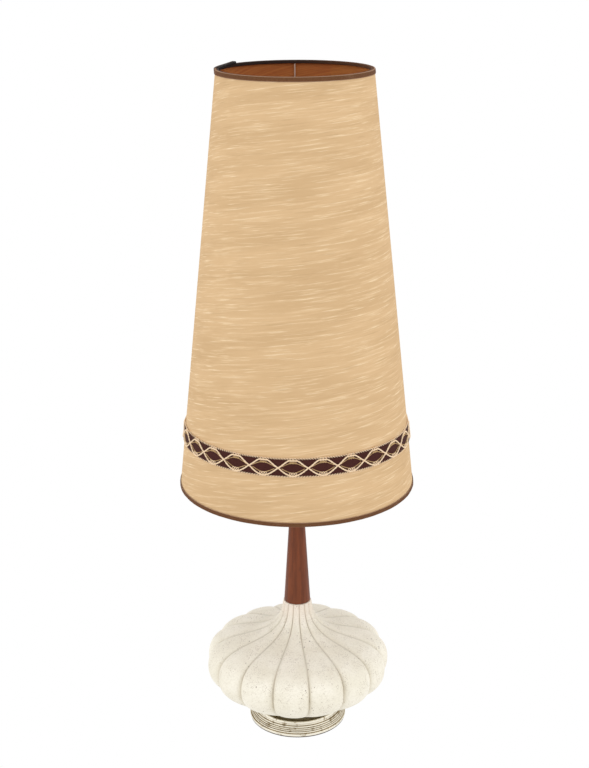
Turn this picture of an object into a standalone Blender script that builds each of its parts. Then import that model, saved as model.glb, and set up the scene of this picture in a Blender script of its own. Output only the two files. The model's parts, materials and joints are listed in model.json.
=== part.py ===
"""Table lamp: a lobed ceramic body on a stepped brass base, a wood neck, and a cloth shade on a harp.

Metres, +Z up. The origin is where the lamp's axis meets the table, and its front faces -Y.
Each object is one physical piece. Pieces that touch on the real lamp keep GAP between them.
"""

import math

import bmesh
import bpy

MM = 0.001
GAP = 0.3 * MM              # between pieces that touch
WELD = 0.001 * MM           # points closer than this are one point
OVERREACH = 2 * MM          # how far a cutter runs past the face it opens
SMOOTH_ANGLE = math.radians(35)

# Facets round each kind of turned piece. The shade's is a multiple of its spider arms.
SHADE_SEGMENTS = 36
BASE_SEGMENTS = 36
SOCKET_SEGMENTS = 20
SMALL_SEGMENTS = 16
WIRE_SIDES = 6
HEX_SIDES = 6

# Base
FELT_THICKNESS = 1.5 * MM
FELT_INSET = 0.8 * MM
FELT_HOLE_RADIUS = 25 * MM
BASE_RADIUS = 81.6 * MM
BASE_WALL = 1.5 * MM
BASE_HEIGHT = 23.2 * MM
BASE_SHOULDER_WIDTH = 10.4 * MM
BASE_RIDGE_HEIGHTS = (4.2 * MM, 6.6 * MM, 4.2 * MM)
BASE_RIDGE_STEP = 2.4 * MM
BASE_SHOULDER_PULL_UP = 0.7  # the shoulder curve's handles, as shares of its height and width
BASE_SHOULDER_PULL_OUT = 0.3
BASE_SHOULDER_STEPS = 4
BUSHING_BORE_RADIUS = 3.2 * MM
BUSHING_WALL = 1.1 * MM
BUSHING_FLANGE_WIDTH = 1.9 * MM
BUSHING_FLANGE_THICKNESS = 2 * MM
BUSHING_HEIGHT = 9.3 * MM   # its axis above the table
BUSHING_REACH = 6 * MM      # inward from the base's rim

# Rod and what clamps it
ROD_RADIUS = 4.8 * MM
ROD_WALL = 1.6 * MM
ROD_STICKOUT = 2 * MM       # below the base nut
WASHER_RADIUS = 12 * MM
WASHER_THICKNESS = 1.2 * MM
LOCK_WASHER_RADIUS = 8.5 * MM
NUT_ACROSS_CORNERS = 16 * MM
BASE_NUT_HEIGHT = 4 * MM
SADDLE_NUT_HEIGHT = 3 * MM

# Ceramic body
LOBES = 15
LOBE_FACETS = 4
FIRST_VALLEY = math.radians(-90 + 7.6)
BODY_RADIUS = 152.9 * MM
BODY_HEIGHT = 190.7 * MM
BODY_EQUATOR = 80.9 * MM    # above the foot
NECKLINE_PULL = 0.55        # the outline's curve handles, as shares of the height or radius beside each
SHOULDER_PULL = 0.79
BELLY_PULL = 0.6
FOOT_PULL_UP = 0.51
FOOT_PULL_OUT = 2.14
FOOT_MARGIN = 4 * MM        # of the base's flat top, outside the foot
COLLAR_RADIUS = 24 * MM
CERAMIC_WALL = 5 * MM
LOBE_DEPTH = 12 * MM        # at the equator
RIB_DEPTH = 1.2 * MM        # at the collar
LOBE_FULLNESS = 2.4         # higher makes the lobes flatter across their crests
CREASE_SHARPNESS = 0.75     # lower makes the valleys between them narrower
SHOULDER_STEPS = 8
BOWL_STEPS = 6

# Wood neck and the brass above it
NECK_LENGTH = 184 * MM
NECK_INSET = 2.3 * MM       # of its foot, inside the collar's rim
NECK_TOP_RADIUS = 10.4 * MM
NECK_EDGE = 1.2 * MM
SPIGOT_LENGTH = 6 * MM
NECK_CAP_OVERHANG = 1.1 * MM
NECK_CAP_HEIGHT = 4 * MM
RISER_WALL = 1.25 * MM
RISER_LENGTH = 270.9 * MM

# Harp and its saddle
HARP_WIRE_RADIUS = 1.6 * MM
HARP_LEG_OFFSET = 27.4 * MM
HARP_HEIGHT = 330 * MM
HARP_HALF_WIDTH = 57 * MM
HARP_STRAIGHT = 28 * MM     # the upright stretch that the ferrules slide on
HARP_WIDEST = 0.42          # height of its widest place, as a share of its height
FLARE_PULL_OUT = 0.3        # handles of its two curves, as shares of the stretch beside each
FLARE_PULL_DOWN = 0.5
CROWN_PULL_UP = 0.74
CROWN_PULL_IN = 0.6
FLARE_STEPS = 7
CROWN_STEPS = 11
HARP_BOSS_RADIUS = 5.5 * MM
HARP_BOSS_PROUD = 0.2 * MM  # above and below the wire
SADDLE_THICKNESS = 1.5 * MM
SADDLE_WIDTH = 14 * MM
SADDLE_END_MARGIN = 1 * MM
UPRIGHT_WIDTH = 4 * MM
UPRIGHT_HEIGHT = 10 * MM
FERRULE_LENGTH = 12 * MM
FERRULE_WALL = 1 * MM
RIVET_RADIUS = 2.2 * MM
RIVET_HEAD_RADIUS = 4.2 * MM
RIVET_HEAD_HEIGHT = 1.4 * MM
SHOULDER_RADIUS = 7 * MM
SHOULDER_THICKNESS = 1.5 * MM
STUD_RADIUS = 3.1 * MM
STUD_LENGTH = 15 * MM       # above the shoulder

# Socket
CAP_NECK_WALL = 2.5 * MM
CAP_NECK_HEIGHT = 7 * MM
CAP_WALL = 1 * MM
CAP_HEIGHT = 22.6 * MM
CAP_FLARE_HEIGHT = 13 * MM
ROD_IN_CAP = 8.5 * MM
SET_SCREW_RADIUS = 1.5 * MM
SET_SCREW_HEIGHT = 3.5 * MM  # its axis above the cap's lower end
SET_SCREW_HEAD_RADIUS = 2.4 * MM
SET_SCREW_HEAD_LENGTH = 1.6 * MM
SHELL_WALL = 0.7 * MM
SHELL_LENGTH = 48 * MM
SHELL_IN_CAP = 8 * MM
SHELL_LIP = 1.2 * MM
SLEEVE_WALL = 0.6 * MM
INTERIOR_HEIGHT = 14 * MM
INTERIOR_SEAT = 4 * MM      # above the shell's lower end
SCREW_SHELL_WALL = 0.6 * MM
SOCKET_AIR = 0.7 * MM       # round the screw shell
SCREW_SHELL_HEIGHT = 26 * MM
CONTACT_RADIUS = 3 * MM
CONTACT_THICKNESS = 1.2 * MM
TERMINAL_FLAT_DEPTH = 3.6 * MM
TERMINAL_SHANK_RADIUS = 1.4 * MM
TERMINAL_SHANK_LENGTH = 4 * MM
TERMINAL_HEAD_RADIUS = 2.8 * MM
TERMINAL_HEAD_LENGTH = 1.5 * MM
SWITCH_SHAFT_RADIUS = 2 * MM
SWITCH_HEIGHT = 7 * MM      # its axis above the socket interior's lower end
SWITCH_IN_INTERIOR = 4 * MM
SHAFT_IN_KNOB = 5 * MM
KNOB_HUB_RADIUS = 3.6 * MM
KNOB_HUB_LENGTH = 6 * MM
KNOB_STANDOFF = 4 * MM      # from the socket cap's side
KEY_WIDTH = 14 * MM
KEY_THICKNESS = 4 * MM
KEY_LENGTH = 12 * MM

# Bulb
BULB_CAP_RADIUS = 13.2 * MM
BULB_CAP_WALL = 0.8 * MM
BULB_CAP_HEIGHT = 24 * MM
BULB_TIP_RADIUS = 4.5 * MM
BULB_TIP_HEIGHT = 1.6 * MM
BULB_CAP_CHAMFER = 3.4 * MM
BULB_RADIUS = 30 * MM
BULB_LENGTH = 102 * MM      # of the glass
BULB_GLASS_WALL = 1 * MM
BULB_NECK_HEIGHT = 22 * MM
BULB_WRAP = 30              # degrees that the round crown runs on below its widest place
THROAT_PULL_DOWN = 0.6      # handles of the curve into the neck, as shares of the bulb's radius
THROAT_PULL_UP = 0.4
CROWN_ARC_STEPS = 6
THROAT_STEPS = 3
STEM_FOOT_RADIUS = 6 * MM
STEM_TOP_RADIUS = 2.5 * MM
STEM_HEIGHT = 48 * MM

# Shade. Its radii are the cover's outer ones, at the cover's two edges.
SHADE_TOP_RADIUS = 118.7 * MM
SHADE_BOTTOM_RADIUS = 188.4 * MM
SHADE_HEIGHT = 656.8 * MM
COVER_THICKNESS = 0.8 * MM
LINING_THICKNESS = 0.6 * MM
RING_WIRE_RADIUS = 1.5 * MM
TAPE_THICKNESS = 0.6 * MM
BINDING_HEIGHT = 7 * MM
BINDING_INSIDE_HEIGHT = 5 * MM
BRAID_RISE = 77.2 * MM      # above the cover's lower edge
BRAID_WIDTH = 28.4 * MM
BRAID_THICKNESS = 1.8 * MM
SPIDER_ARMS = 3
FIRST_ARM = math.radians(90)
ARM_WIRE_RADIUS = 1.2 * MM
ARM_BEND = 9 * MM
ARM_BEND_STEPS = 5
SPIDER_DROP = 75 * MM       # from the top ring down to the hub
HUB_RADIUS = 13 * MM
HUB_THICKNESS = 1.5 * MM

# Finial
FINIAL_SEAT_WALL = 1.6 * MM
FINIAL_SEAT_HEIGHT = 16 * MM
FINIAL_FOOT_RADIUS = 9 * MM
FINIAL_FOOT_HEIGHT = 3 * MM
FINIAL_WAIST_RADIUS = 7.4 * MM
FINIAL_COVE_HEIGHT = 3 * MM
FINIAL_BALL_RADIUS = 11 * MM
FINIAL_HEIGHT = 37 * MM
FINIAL_BALL_WRAP = 48       # degrees that the ball runs on below its widest place
BALL_STEPS = 6

# Sizes that follow from the pieces inside or beside
BASE_TOP_RADIUS = BASE_RADIUS - len(BASE_RIDGE_HEIGHTS) * BASE_RIDGE_STEP - BASE_SHOULDER_WIDTH
FOOT_RADIUS = BASE_TOP_RADIUS - FOOT_MARGIN
NECK_FOOT_RADIUS = COLLAR_RADIUS - NECK_INSET
ROD_CLEAR_RADIUS = ROD_RADIUS + GAP
RISER_RADIUS = ROD_CLEAR_RADIUS + RISER_WALL
CAP_NECK_RADIUS = ROD_CLEAR_RADIUS + CAP_NECK_WALL
SCREW_SHELL_RADIUS = BULB_CAP_RADIUS + GAP + SCREW_SHELL_WALL
INTERIOR_RADIUS = SCREW_SHELL_RADIUS + SOCKET_AIR
SLEEVE_RADIUS = INTERIOR_RADIUS + GAP + SLEEVE_WALL
SHELL_RADIUS = SLEEVE_RADIUS + GAP + SHELL_WALL
CAP_RADIUS = SHELL_RADIUS + GAP + CAP_WALL
BULB_NECK_RADIUS = BULB_CAP_RADIUS - BULB_CAP_WALL - GAP
HARP_BOSS_HEIGHT = 2 * (HARP_WIRE_RADIUS + HARP_BOSS_PROUD)
UPRIGHT_INNER_FACE = HARP_LEG_OFFSET - HARP_WIRE_RADIUS - GAP - SADDLE_THICKNESS
FINIAL_SEAT_RADIUS = STUD_RADIUS + GAP + FINIAL_SEAT_WALL

# Heights of the pieces' lower ends, one stacked on another from the table up
BASE_Z = FELT_THICKNESS + GAP
BASE_TOP_Z = BASE_Z + BASE_HEIGHT
BODY_Z = BASE_TOP_Z + GAP
NECK_Z = BODY_Z + BODY_HEIGHT + GAP
NECK_CAP_Z = NECK_Z + NECK_LENGTH + GAP
RISER_Z = NECK_CAP_Z + NECK_CAP_HEIGHT + GAP
SADDLE_Z = RISER_Z + RISER_LENGTH + GAP
SADDLE_NUT_Z = SADDLE_Z + SADDLE_THICKNESS + GAP
SOCKET_CAP_Z = SADDLE_NUT_Z + SADDLE_NUT_HEIGHT + GAP
SHELL_Z = SOCKET_CAP_Z + CAP_HEIGHT - SHELL_IN_CAP
INTERIOR_Z = SHELL_Z + INTERIOR_SEAT
SCREW_SHELL_Z = INTERIOR_Z + INTERIOR_HEIGHT + GAP
BULB_CAP_Z = SCREW_SHELL_Z + CONTACT_THICKNESS + GAP
BULB_GLASS_Z = BULB_CAP_Z + BULB_TIP_HEIGHT + BULB_CAP_CHAMFER + BULB_CAP_WALL
HARP_Z = SADDLE_Z + SADDLE_THICKNESS + GAP
STUD_SHOULDER_Z = HARP_Z + HARP_HEIGHT + HARP_BOSS_HEIGHT / 2 + GAP
HUB_Z = STUD_SHOULDER_Z + SHOULDER_THICKNESS + GAP
FINIAL_Z = HUB_Z + HUB_THICKNESS + GAP
TOP_RING_Z = HUB_Z + HUB_THICKNESS / 2 + SPIDER_DROP
SHADE_TOP_Z = TOP_RING_Z + RING_WIRE_RADIUS
SHADE_BOTTOM_Z = SHADE_TOP_Z - SHADE_HEIGHT
BOTTOM_RING_Z = SHADE_BOTTOM_Z + RING_WIRE_RADIUS


def look(name, color, roughness, metallic=0.0):
    """A plain Principled material."""
    made = bpy.data.materials.new(name)
    made.use_nodes = True
    shader = made.node_tree.nodes["Principled BSDF"]
    shader.inputs["Base Color"].default_value = (*color, 1)
    shader.inputs["Roughness"].default_value = roughness
    shader.inputs["Metallic"].default_value = metallic
    return made


def piece_of(name, shape, surface, location=(0, 0, 0)):
    """The object of a finished bmesh, shaded smooth between its sharp edges."""
    bmesh.ops.remove_doubles(shape, verts=shape.verts, dist=WELD)
    bmesh.ops.recalc_face_normals(shape, faces=shape.faces)
    mesh = bpy.data.meshes.new(name)
    shape.to_mesh(mesh)
    shape.free()
    mesh.shade_smooth()
    mesh.set_sharp_from_angle(angle=SMOOTH_ANGLE)
    mesh.materials.append(surface)
    piece = bpy.data.objects.new(name, mesh)
    piece.location = location
    bpy.context.collection.objects.link(piece)
    return piece


def turned(name, outline, surface, segments, location=(0, 0, 0)):
    """A turned piece. Its outline is (radius, height) points, and a loop unless its ends are on the axis."""
    shape = bmesh.new()
    points = [shape.verts.new((radius, 0, height)) for radius, height in outline]
    edges = [shape.edges.new(pair) for pair in zip(points, points[1:])]
    if outline[0][0] > 0:
        edges.append(shape.edges.new((points[-1], points[0])))
    bmesh.ops.spin(
        shape,
        geom=points + edges,
        cent=(0, 0, 0),
        axis=(0, 0, 1),
        angle=math.tau,
        steps=segments,
        use_merge=True,
    )
    return piece_of(name, shape, surface, location)


def tube(name, inner, outer, height, surface, segments, location=(0, 0, 0)):
    """A plain tube, washer or sleeve with its lower end at the location."""
    outline = [(outer, height), (outer, 0), (inner, 0), (inner, height)]
    return turned(name, outline, surface, segments, location)


def rod(name, radius, height, surface, segments, location=(0, 0, 0)):
    """A plain solid cylinder with its lower end at the location."""
    outline = [(0, height), (radius, height), (radius, 0), (0, 0)]
    return turned(name, outline, surface, segments, location)


def block(name, size, surface, location):
    """A box with its centre at the location."""
    shape = bmesh.new()
    bmesh.ops.create_cube(shape, size=1)
    bmesh.ops.scale(shape, vec=size, verts=shape.verts)
    return piece_of(name, shape, surface, location)


def wire(name, path, radius, surface, location=(0, 0, 0)):
    """A round wire with flat ends along a list of points, which are relative to the location."""
    curve = bpy.data.curves.new(name, "CURVE")
    curve.dimensions = "3D"
    curve.bevel_depth = radius
    curve.bevel_resolution = (WIRE_SIDES - 4) // 2
    curve.use_fill_caps = True
    spline = curve.splines.new("POLY")
    spline.points.add(len(path) - 1)
    for point, place in zip(spline.points, path):
        point.co = (*place, 1)
    guide = bpy.data.objects.new(name, curve)
    mesh = bpy.data.meshes.new_from_object(guide)
    shape = bmesh.new()
    shape.from_mesh(mesh)
    bpy.data.objects.remove(guide)
    bpy.data.meshes.remove(mesh)
    return piece_of(name, shape, surface, location)


def combine(piece, tool, operation):
    """Adds or removes a tool's shape with an exact Boolean, and hides the tool."""
    modifier = piece.modifiers.new(operation.title(), "BOOLEAN")
    modifier.operation = operation
    modifier.object = tool
    tool.hide_render = True
    tool.display_type = "WIRE"


def cut(piece, tool):
    combine(piece, tool, "DIFFERENCE")


def join(piece, tool):
    combine(piece, tool, "UNION")


def bezier(start, pull_start, pull_end, end, steps):
    """Points along a cubic curve, both ends included."""
    points = []
    for i in range(steps + 1):
        t = i / steps
        weights = ((1 - t) ** 3, 3 * t * (1 - t) ** 2, 3 * t**2 * (1 - t), t**3)
        corners = (start, pull_start, pull_end, end)
        points.append(tuple(sum(w * c[k] for w, c in zip(weights, corners)) for k in (0, 1)))
    return points


def arc(centre, radius, first, last, steps):
    """Points on an arc in the (radius, height) plane, from one angle to another in degrees."""
    angles = [math.radians(first + (last - first) * i / steps) for i in range(steps + 1)]
    return [(centre[0] + radius * math.cos(a), centre[1] + radius * math.sin(a)) for a in angles]


def hex_nut(name, height, surface, z):
    """A hexagonal nut round the rod."""
    nut = rod(name, NUT_ACROSS_CORNERS / 2, height, surface, HEX_SIDES, (0, 0, z))
    bore = rod(
        name + "_bore",
        ROD_CLEAR_RADIUS,
        height + 2 * OVERREACH,
        surface,
        SMALL_SEGMENTS,
        (0, 0, z - OVERREACH),
    )
    cut(nut, bore)


def base_outline():
    """The spun base: vertical ridges that step inward, then a rounded shoulder up to the flat top."""
    outer = []
    radius = BASE_RADIUS
    height = 0.0
    for ridge_height in BASE_RIDGE_HEIGHTS:
        outer += [(radius, height), (radius, height + ridge_height)]
        radius -= BASE_RIDGE_STEP
        height += ridge_height
    shoulder_height = BASE_HEIGHT - height
    shoulder = bezier(
        (radius, height),
        (radius, height + BASE_SHOULDER_PULL_UP * shoulder_height),
        (BASE_TOP_RADIUS + BASE_SHOULDER_PULL_OUT * BASE_SHOULDER_WIDTH, BASE_HEIGHT),
        (BASE_TOP_RADIUS, BASE_HEIGHT),
        BASE_SHOULDER_STEPS,
    )
    inner_shoulder = radius - BASE_WALL
    inside_height = BASE_HEIGHT - BASE_WALL
    inside = [
        (ROD_CLEAR_RADIUS, inside_height),
        (BASE_TOP_RADIUS - BASE_WALL, inside_height),
        (inner_shoulder - BASE_WALL, height),
        (BASE_RADIUS - BASE_RIDGE_STEP - BASE_WALL, BASE_RIDGE_HEIGHTS[0]),
        (BASE_RADIUS - BASE_WALL, 0),
    ]
    return outer + shoulder + [(ROD_CLEAR_RADIUS, BASE_HEIGHT)] + inside


def make_base(brass, felt, steel, rubber):
    tube(
        "base_felt",
        FELT_HOLE_RADIUS,
        BASE_RADIUS - FELT_INSET,
        FELT_THICKNESS,
        felt,
        BASE_SEGMENTS,
    )
    base = turned("brass_base", base_outline(), brass, BASE_SEGMENTS, (0, 0, BASE_Z))

    bushing_radius = BUSHING_BORE_RADIUS + BUSHING_WALL
    flange_radius = bushing_radius + BUSHING_FLANGE_WIDTH
    flange_face = BASE_RADIUS + GAP
    inner_end = BASE_RADIUS - BUSHING_REACH
    outer_end = flange_face + BUSHING_FLANGE_THICKNESS
    outline = [
        (flange_radius, outer_end - inner_end),
        (flange_radius, flange_face - inner_end),
        (bushing_radius, flange_face - inner_end),
        (bushing_radius, 0),
        (BUSHING_BORE_RADIUS, 0),
        (BUSHING_BORE_RADIUS, outer_end - inner_end),
    ]
    bushing = turned("cord_bushing", outline, rubber, SMALL_SEGMENTS, (0, inner_end, BUSHING_HEIGHT))
    bushing.rotation_euler.x = math.radians(-90)
    hole_start = inner_end - 2 * OVERREACH
    hole = rod(
        "bushing_hole",
        bushing_radius + GAP,
        outer_end - hole_start,
        rubber,
        SMALL_SEGMENTS,
        (0, hole_start, BUSHING_HEIGHT),
    )
    hole.rotation_euler.x = math.radians(-90)
    cut(base, hole)

    washer_z = BASE_TOP_Z - BASE_WALL - GAP - WASHER_THICKNESS
    lock_z = washer_z - GAP - WASHER_THICKNESS
    nut_z = lock_z - GAP - BASE_NUT_HEIGHT
    for name, radius, z in (
        ("base_washer", WASHER_RADIUS, washer_z),
        ("lock_washer", LOCK_WASHER_RADIUS, lock_z),
    ):
        tube(name, ROD_CLEAR_RADIUS, radius, WASHER_THICKNESS, steel, SMALL_SEGMENTS, (0, 0, z))
    hex_nut("base_nut", BASE_NUT_HEIGHT, steel, nut_z)
    rod_z = nut_z - ROD_STICKOUT
    rod_top = SOCKET_CAP_Z + ROD_IN_CAP
    tube(
        "threaded_rod",
        ROD_RADIUS - ROD_WALL,
        ROD_RADIUS,
        rod_top - rod_z,
        steel,
        SMALL_SEGMENTS,
        (0, 0, rod_z),
    )


def body_section():
    """The ceramic wall as a loop of (crest radius, height, lobe depth): down outside, then up inside."""
    shoulder = bezier(
        (COLLAR_RADIUS, BODY_HEIGHT),
        (COLLAR_RADIUS, NECKLINE_PULL * BODY_HEIGHT),
        (BODY_RADIUS, SHOULDER_PULL * BODY_HEIGHT),
        (BODY_RADIUS, BODY_EQUATOR),
        SHOULDER_STEPS,
    )
    bowl = bezier(
        (BODY_RADIUS, BODY_EQUATOR),
        (BODY_RADIUS, BELLY_PULL * BODY_EQUATOR),
        (FOOT_PULL_OUT * FOOT_RADIUS, FOOT_PULL_UP * BODY_EQUATOR),
        (FOOT_RADIUS, 0),
        BOWL_STEPS,
    )
    outer = []
    for radius, height in shoulder:
        share = (radius - COLLAR_RADIUS) / (BODY_RADIUS - COLLAR_RADIUS)
        outer.append((radius, height, RIB_DEPTH + share * (LOBE_DEPTH - RIB_DEPTH)))
    for radius, height in bowl[1:]:
        share = (radius - FOOT_RADIUS) / (BODY_RADIUS - FOOT_RADIUS)
        outer.append((radius, height, share * LOBE_DEPTH))
    inner = [(radius - depth - CERAMIC_WALL, height, 0) for radius, height, depth in outer[::2]]
    return outer + inner[::-1]


def lobe_swell(azimuth):
    """How far out the surface stands at an azimuth: 0 in a valley, 1 on a lobe's crest."""
    across = ((azimuth - FIRST_VALLEY) * LOBES / math.tau) % 1
    return (1 - abs(2 * across - 1) ** LOBE_FULLNESS) ** CREASE_SHARPNESS


def make_body(ceramic):
    section = body_section()
    around = LOBES * LOBE_FACETS
    shape = bmesh.new()
    rings = []
    for i in range(around):
        azimuth = FIRST_VALLEY + math.tau * i / around
        swell = lobe_swell(azimuth)
        ring = []
        for crest, height, depth in section:
            radius = crest - depth * (1 - swell)
            place = (radius * math.cos(azimuth), radius * math.sin(azimuth), height)
            ring.append(shape.verts.new(place))
        rings.append(ring)
    for i in range(around):
        here, there = rings[i], rings[(i + 1) % around]
        for k in range(len(section)):
            after = (k + 1) % len(section)
            shape.faces.new((here[k], here[after], there[after], there[k]))
    piece_of("ceramic_body", shape, ceramic, (0, 0, BODY_Z))


def make_stem(wood, brass):
    collar_bore = COLLAR_RADIUS - RIB_DEPTH - CERAMIC_WALL
    spigot_radius = collar_bore - GAP - RIB_DEPTH
    outline = [
        (NECK_TOP_RADIUS - NECK_EDGE, NECK_LENGTH),
        (NECK_TOP_RADIUS, NECK_LENGTH - NECK_EDGE),
        (NECK_FOOT_RADIUS, NECK_EDGE),
        (NECK_FOOT_RADIUS - NECK_EDGE / 2, 0),
        (spigot_radius, 0),
        (spigot_radius, -SPIGOT_LENGTH),
        (ROD_CLEAR_RADIUS, -SPIGOT_LENGTH),
        (ROD_CLEAR_RADIUS, NECK_LENGTH),
    ]
    turned("wood_neck", outline, wood, SOCKET_SEGMENTS, (0, 0, NECK_Z))
    cap_radius = NECK_TOP_RADIUS + NECK_CAP_OVERHANG
    tube(
        "neck_cap",
        ROD_CLEAR_RADIUS,
        cap_radius,
        NECK_CAP_HEIGHT,
        brass,
        SOCKET_SEGMENTS,
        (0, 0, NECK_CAP_Z),
    )
    tube(
        "riser_tube",
        ROD_CLEAR_RADIUS,
        RISER_RADIUS,
        RISER_LENGTH,
        brass,
        SMALL_SEGMENTS,
        (0, 0, RISER_Z),
    )


def make_saddle(brass, steel):
    half_length = HARP_LEG_OFFSET + HARP_WIRE_RADIUS + SADDLE_END_MARGIN
    saddle = block(
        "harp_saddle",
        (2 * half_length, SADDLE_WIDTH, SADDLE_THICKNESS),
        brass,
        (0, 0, SADDLE_Z + SADDLE_THICKNESS / 2),
    )
    upright_centre = UPRIGHT_INNER_FACE + SADDLE_THICKNESS / 2
    full_height = UPRIGHT_HEIGHT + SADDLE_THICKNESS / 2
    for side in (-1, 1):
        upright = block(
            f"upright_{side}",
            (SADDLE_THICKNESS, UPRIGHT_WIDTH, full_height),
            brass,
            (side * upright_centre, 0, SADDLE_Z + SADDLE_THICKNESS / 2 + full_height / 2),
        )
        join(saddle, upright)
    bore = rod(
        "saddle_bore",
        ROD_CLEAR_RADIUS,
        SADDLE_THICKNESS + 2 * OVERREACH,
        brass,
        SMALL_SEGMENTS,
        (0, 0, SADDLE_Z - OVERREACH),
    )
    cut(saddle, bore)
    hex_nut("saddle_nut", SADDLE_NUT_HEIGHT, steel, SADDLE_NUT_Z)


def make_socket_cap(brass, steel):
    inner = CAP_RADIUS - CAP_WALL
    outline = [
        (CAP_RADIUS, CAP_HEIGHT),
        (CAP_RADIUS, CAP_FLARE_HEIGHT),
        (CAP_NECK_RADIUS, CAP_NECK_HEIGHT),
        (CAP_NECK_RADIUS, 0),
        (ROD_CLEAR_RADIUS, 0),
        (ROD_CLEAR_RADIUS, CAP_NECK_HEIGHT + CAP_WALL),
        (inner, CAP_FLARE_HEIGHT + CAP_WALL),
        (inner, CAP_HEIGHT),
    ]
    cap = turned("socket_cap", outline, brass, SOCKET_SEGMENTS, (0, 0, SOCKET_CAP_Z))
    screw_z = SOCKET_CAP_Z + SET_SCREW_HEIGHT
    hole = rod(
        "set_screw_hole",
        SET_SCREW_RADIUS + GAP,
        CAP_NECK_RADIUS + OVERREACH,
        steel,
        SMALL_SEGMENTS,
        (0, 0, screw_z),
    )
    hole.rotation_euler.x = math.radians(-90)
    cut(cap, hole)
    head_start = CAP_NECK_RADIUS + GAP - ROD_CLEAR_RADIUS
    head_end = head_start + SET_SCREW_HEAD_LENGTH
    screw = turned(
        "cap_set_screw",
        [
            (0, head_end),
            (SET_SCREW_HEAD_RADIUS, head_end),
            (SET_SCREW_HEAD_RADIUS, head_start),
            (SET_SCREW_RADIUS, head_start),
            (SET_SCREW_RADIUS, 0),
            (0, 0),
        ],
        steel,
        SMALL_SEGMENTS,
        (0, ROD_CLEAR_RADIUS, screw_z),
    )
    screw.rotation_euler.x = math.radians(-90)


def make_socket_interior(phenolic, brass):
    interior = rod(
        "socket_interior",
        INTERIOR_RADIUS,
        INTERIOR_HEIGHT,
        phenolic,
        SOCKET_SEGMENTS,
        (0, 0, INTERIOR_Z),
    )
    middle_z = INTERIOR_Z + INTERIOR_HEIGHT / 2
    flat = INTERIOR_RADIUS - TERMINAL_FLAT_DEPTH
    pocket_height = 2 * (TERMINAL_HEAD_RADIUS + GAP)
    for side, name in ((-1, "left"), (1, "right")):
        pocket_depth = TERMINAL_FLAT_DEPTH + OVERREACH
        pocket = block(
            f"terminal_pocket_{name}",
            (pocket_depth, 2 * (INTERIOR_RADIUS + OVERREACH), pocket_height),
            phenolic,
            (side * (flat + pocket_depth / 2), 0, middle_z),
        )
        cut(interior, pocket)
        hole_start = flat - TERMINAL_SHANK_LENGTH - GAP
        hole = rod(
            f"terminal_hole_{name}",
            TERMINAL_SHANK_RADIUS + GAP,
            TERMINAL_SHANK_LENGTH + GAP + OVERREACH,
            phenolic,
            SMALL_SEGMENTS,
            (side * hole_start, 0, middle_z),
        )
        hole.rotation_euler.y = math.radians(90 * side)
        cut(interior, hole)
        head_start = TERMINAL_SHANK_LENGTH + GAP
        head_end = head_start + TERMINAL_HEAD_LENGTH
        screw = turned(
            f"terminal_screw_{name}",
            [
                (0, head_end),
                (TERMINAL_HEAD_RADIUS, head_end),
                (TERMINAL_HEAD_RADIUS, head_start),
                (TERMINAL_SHANK_RADIUS, head_start),
                (TERMINAL_SHANK_RADIUS, 0),
                (0, 0),
            ],
            brass,
            SMALL_SEGMENTS,
            (side * (flat - TERMINAL_SHANK_LENGTH), 0, middle_z),
        )
        screw.rotation_euler.y = math.radians(90 * side)
    tube(
        "screw_shell",
        SCREW_SHELL_RADIUS - SCREW_SHELL_WALL,
        SCREW_SHELL_RADIUS,
        SCREW_SHELL_HEIGHT,
        brass,
        SOCKET_SEGMENTS,
        (0, 0, SCREW_SHELL_Z),
    )
    rod(
        "centre_contact",
        CONTACT_RADIUS,
        CONTACT_THICKNESS,
        brass,
        SMALL_SEGMENTS,
        (0, 0, SCREW_SHELL_Z),
    )
    return interior


def make_socket_shell(brass, card):
    """The brass shell and the card sleeve inside it, each with a hole for the switch shaft."""
    inner = SHELL_RADIUS - SHELL_WALL
    outline = [
        (SHELL_RADIUS - SHELL_LIP, SHELL_LENGTH),
        (SHELL_RADIUS, SHELL_LENGTH - SHELL_LIP),
        (SHELL_RADIUS, 0),
        (inner, 0),
        (inner, SHELL_LENGTH - SHELL_LIP),
        (inner - SHELL_LIP, SHELL_LENGTH),
    ]
    shell = turned("socket_shell", outline, brass, SOCKET_SEGMENTS, (0, 0, SHELL_Z))
    sleeve_top = SHELL_Z + SHELL_LENGTH - 2 * SHELL_LIP
    sleeve = tube(
        "insulating_sleeve",
        SLEEVE_RADIUS - SLEEVE_WALL,
        SLEEVE_RADIUS,
        sleeve_top - INTERIOR_Z,
        card,
        SOCKET_SEGMENTS,
        (0, 0, INTERIOR_Z),
    )
    return shell, sleeve


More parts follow.
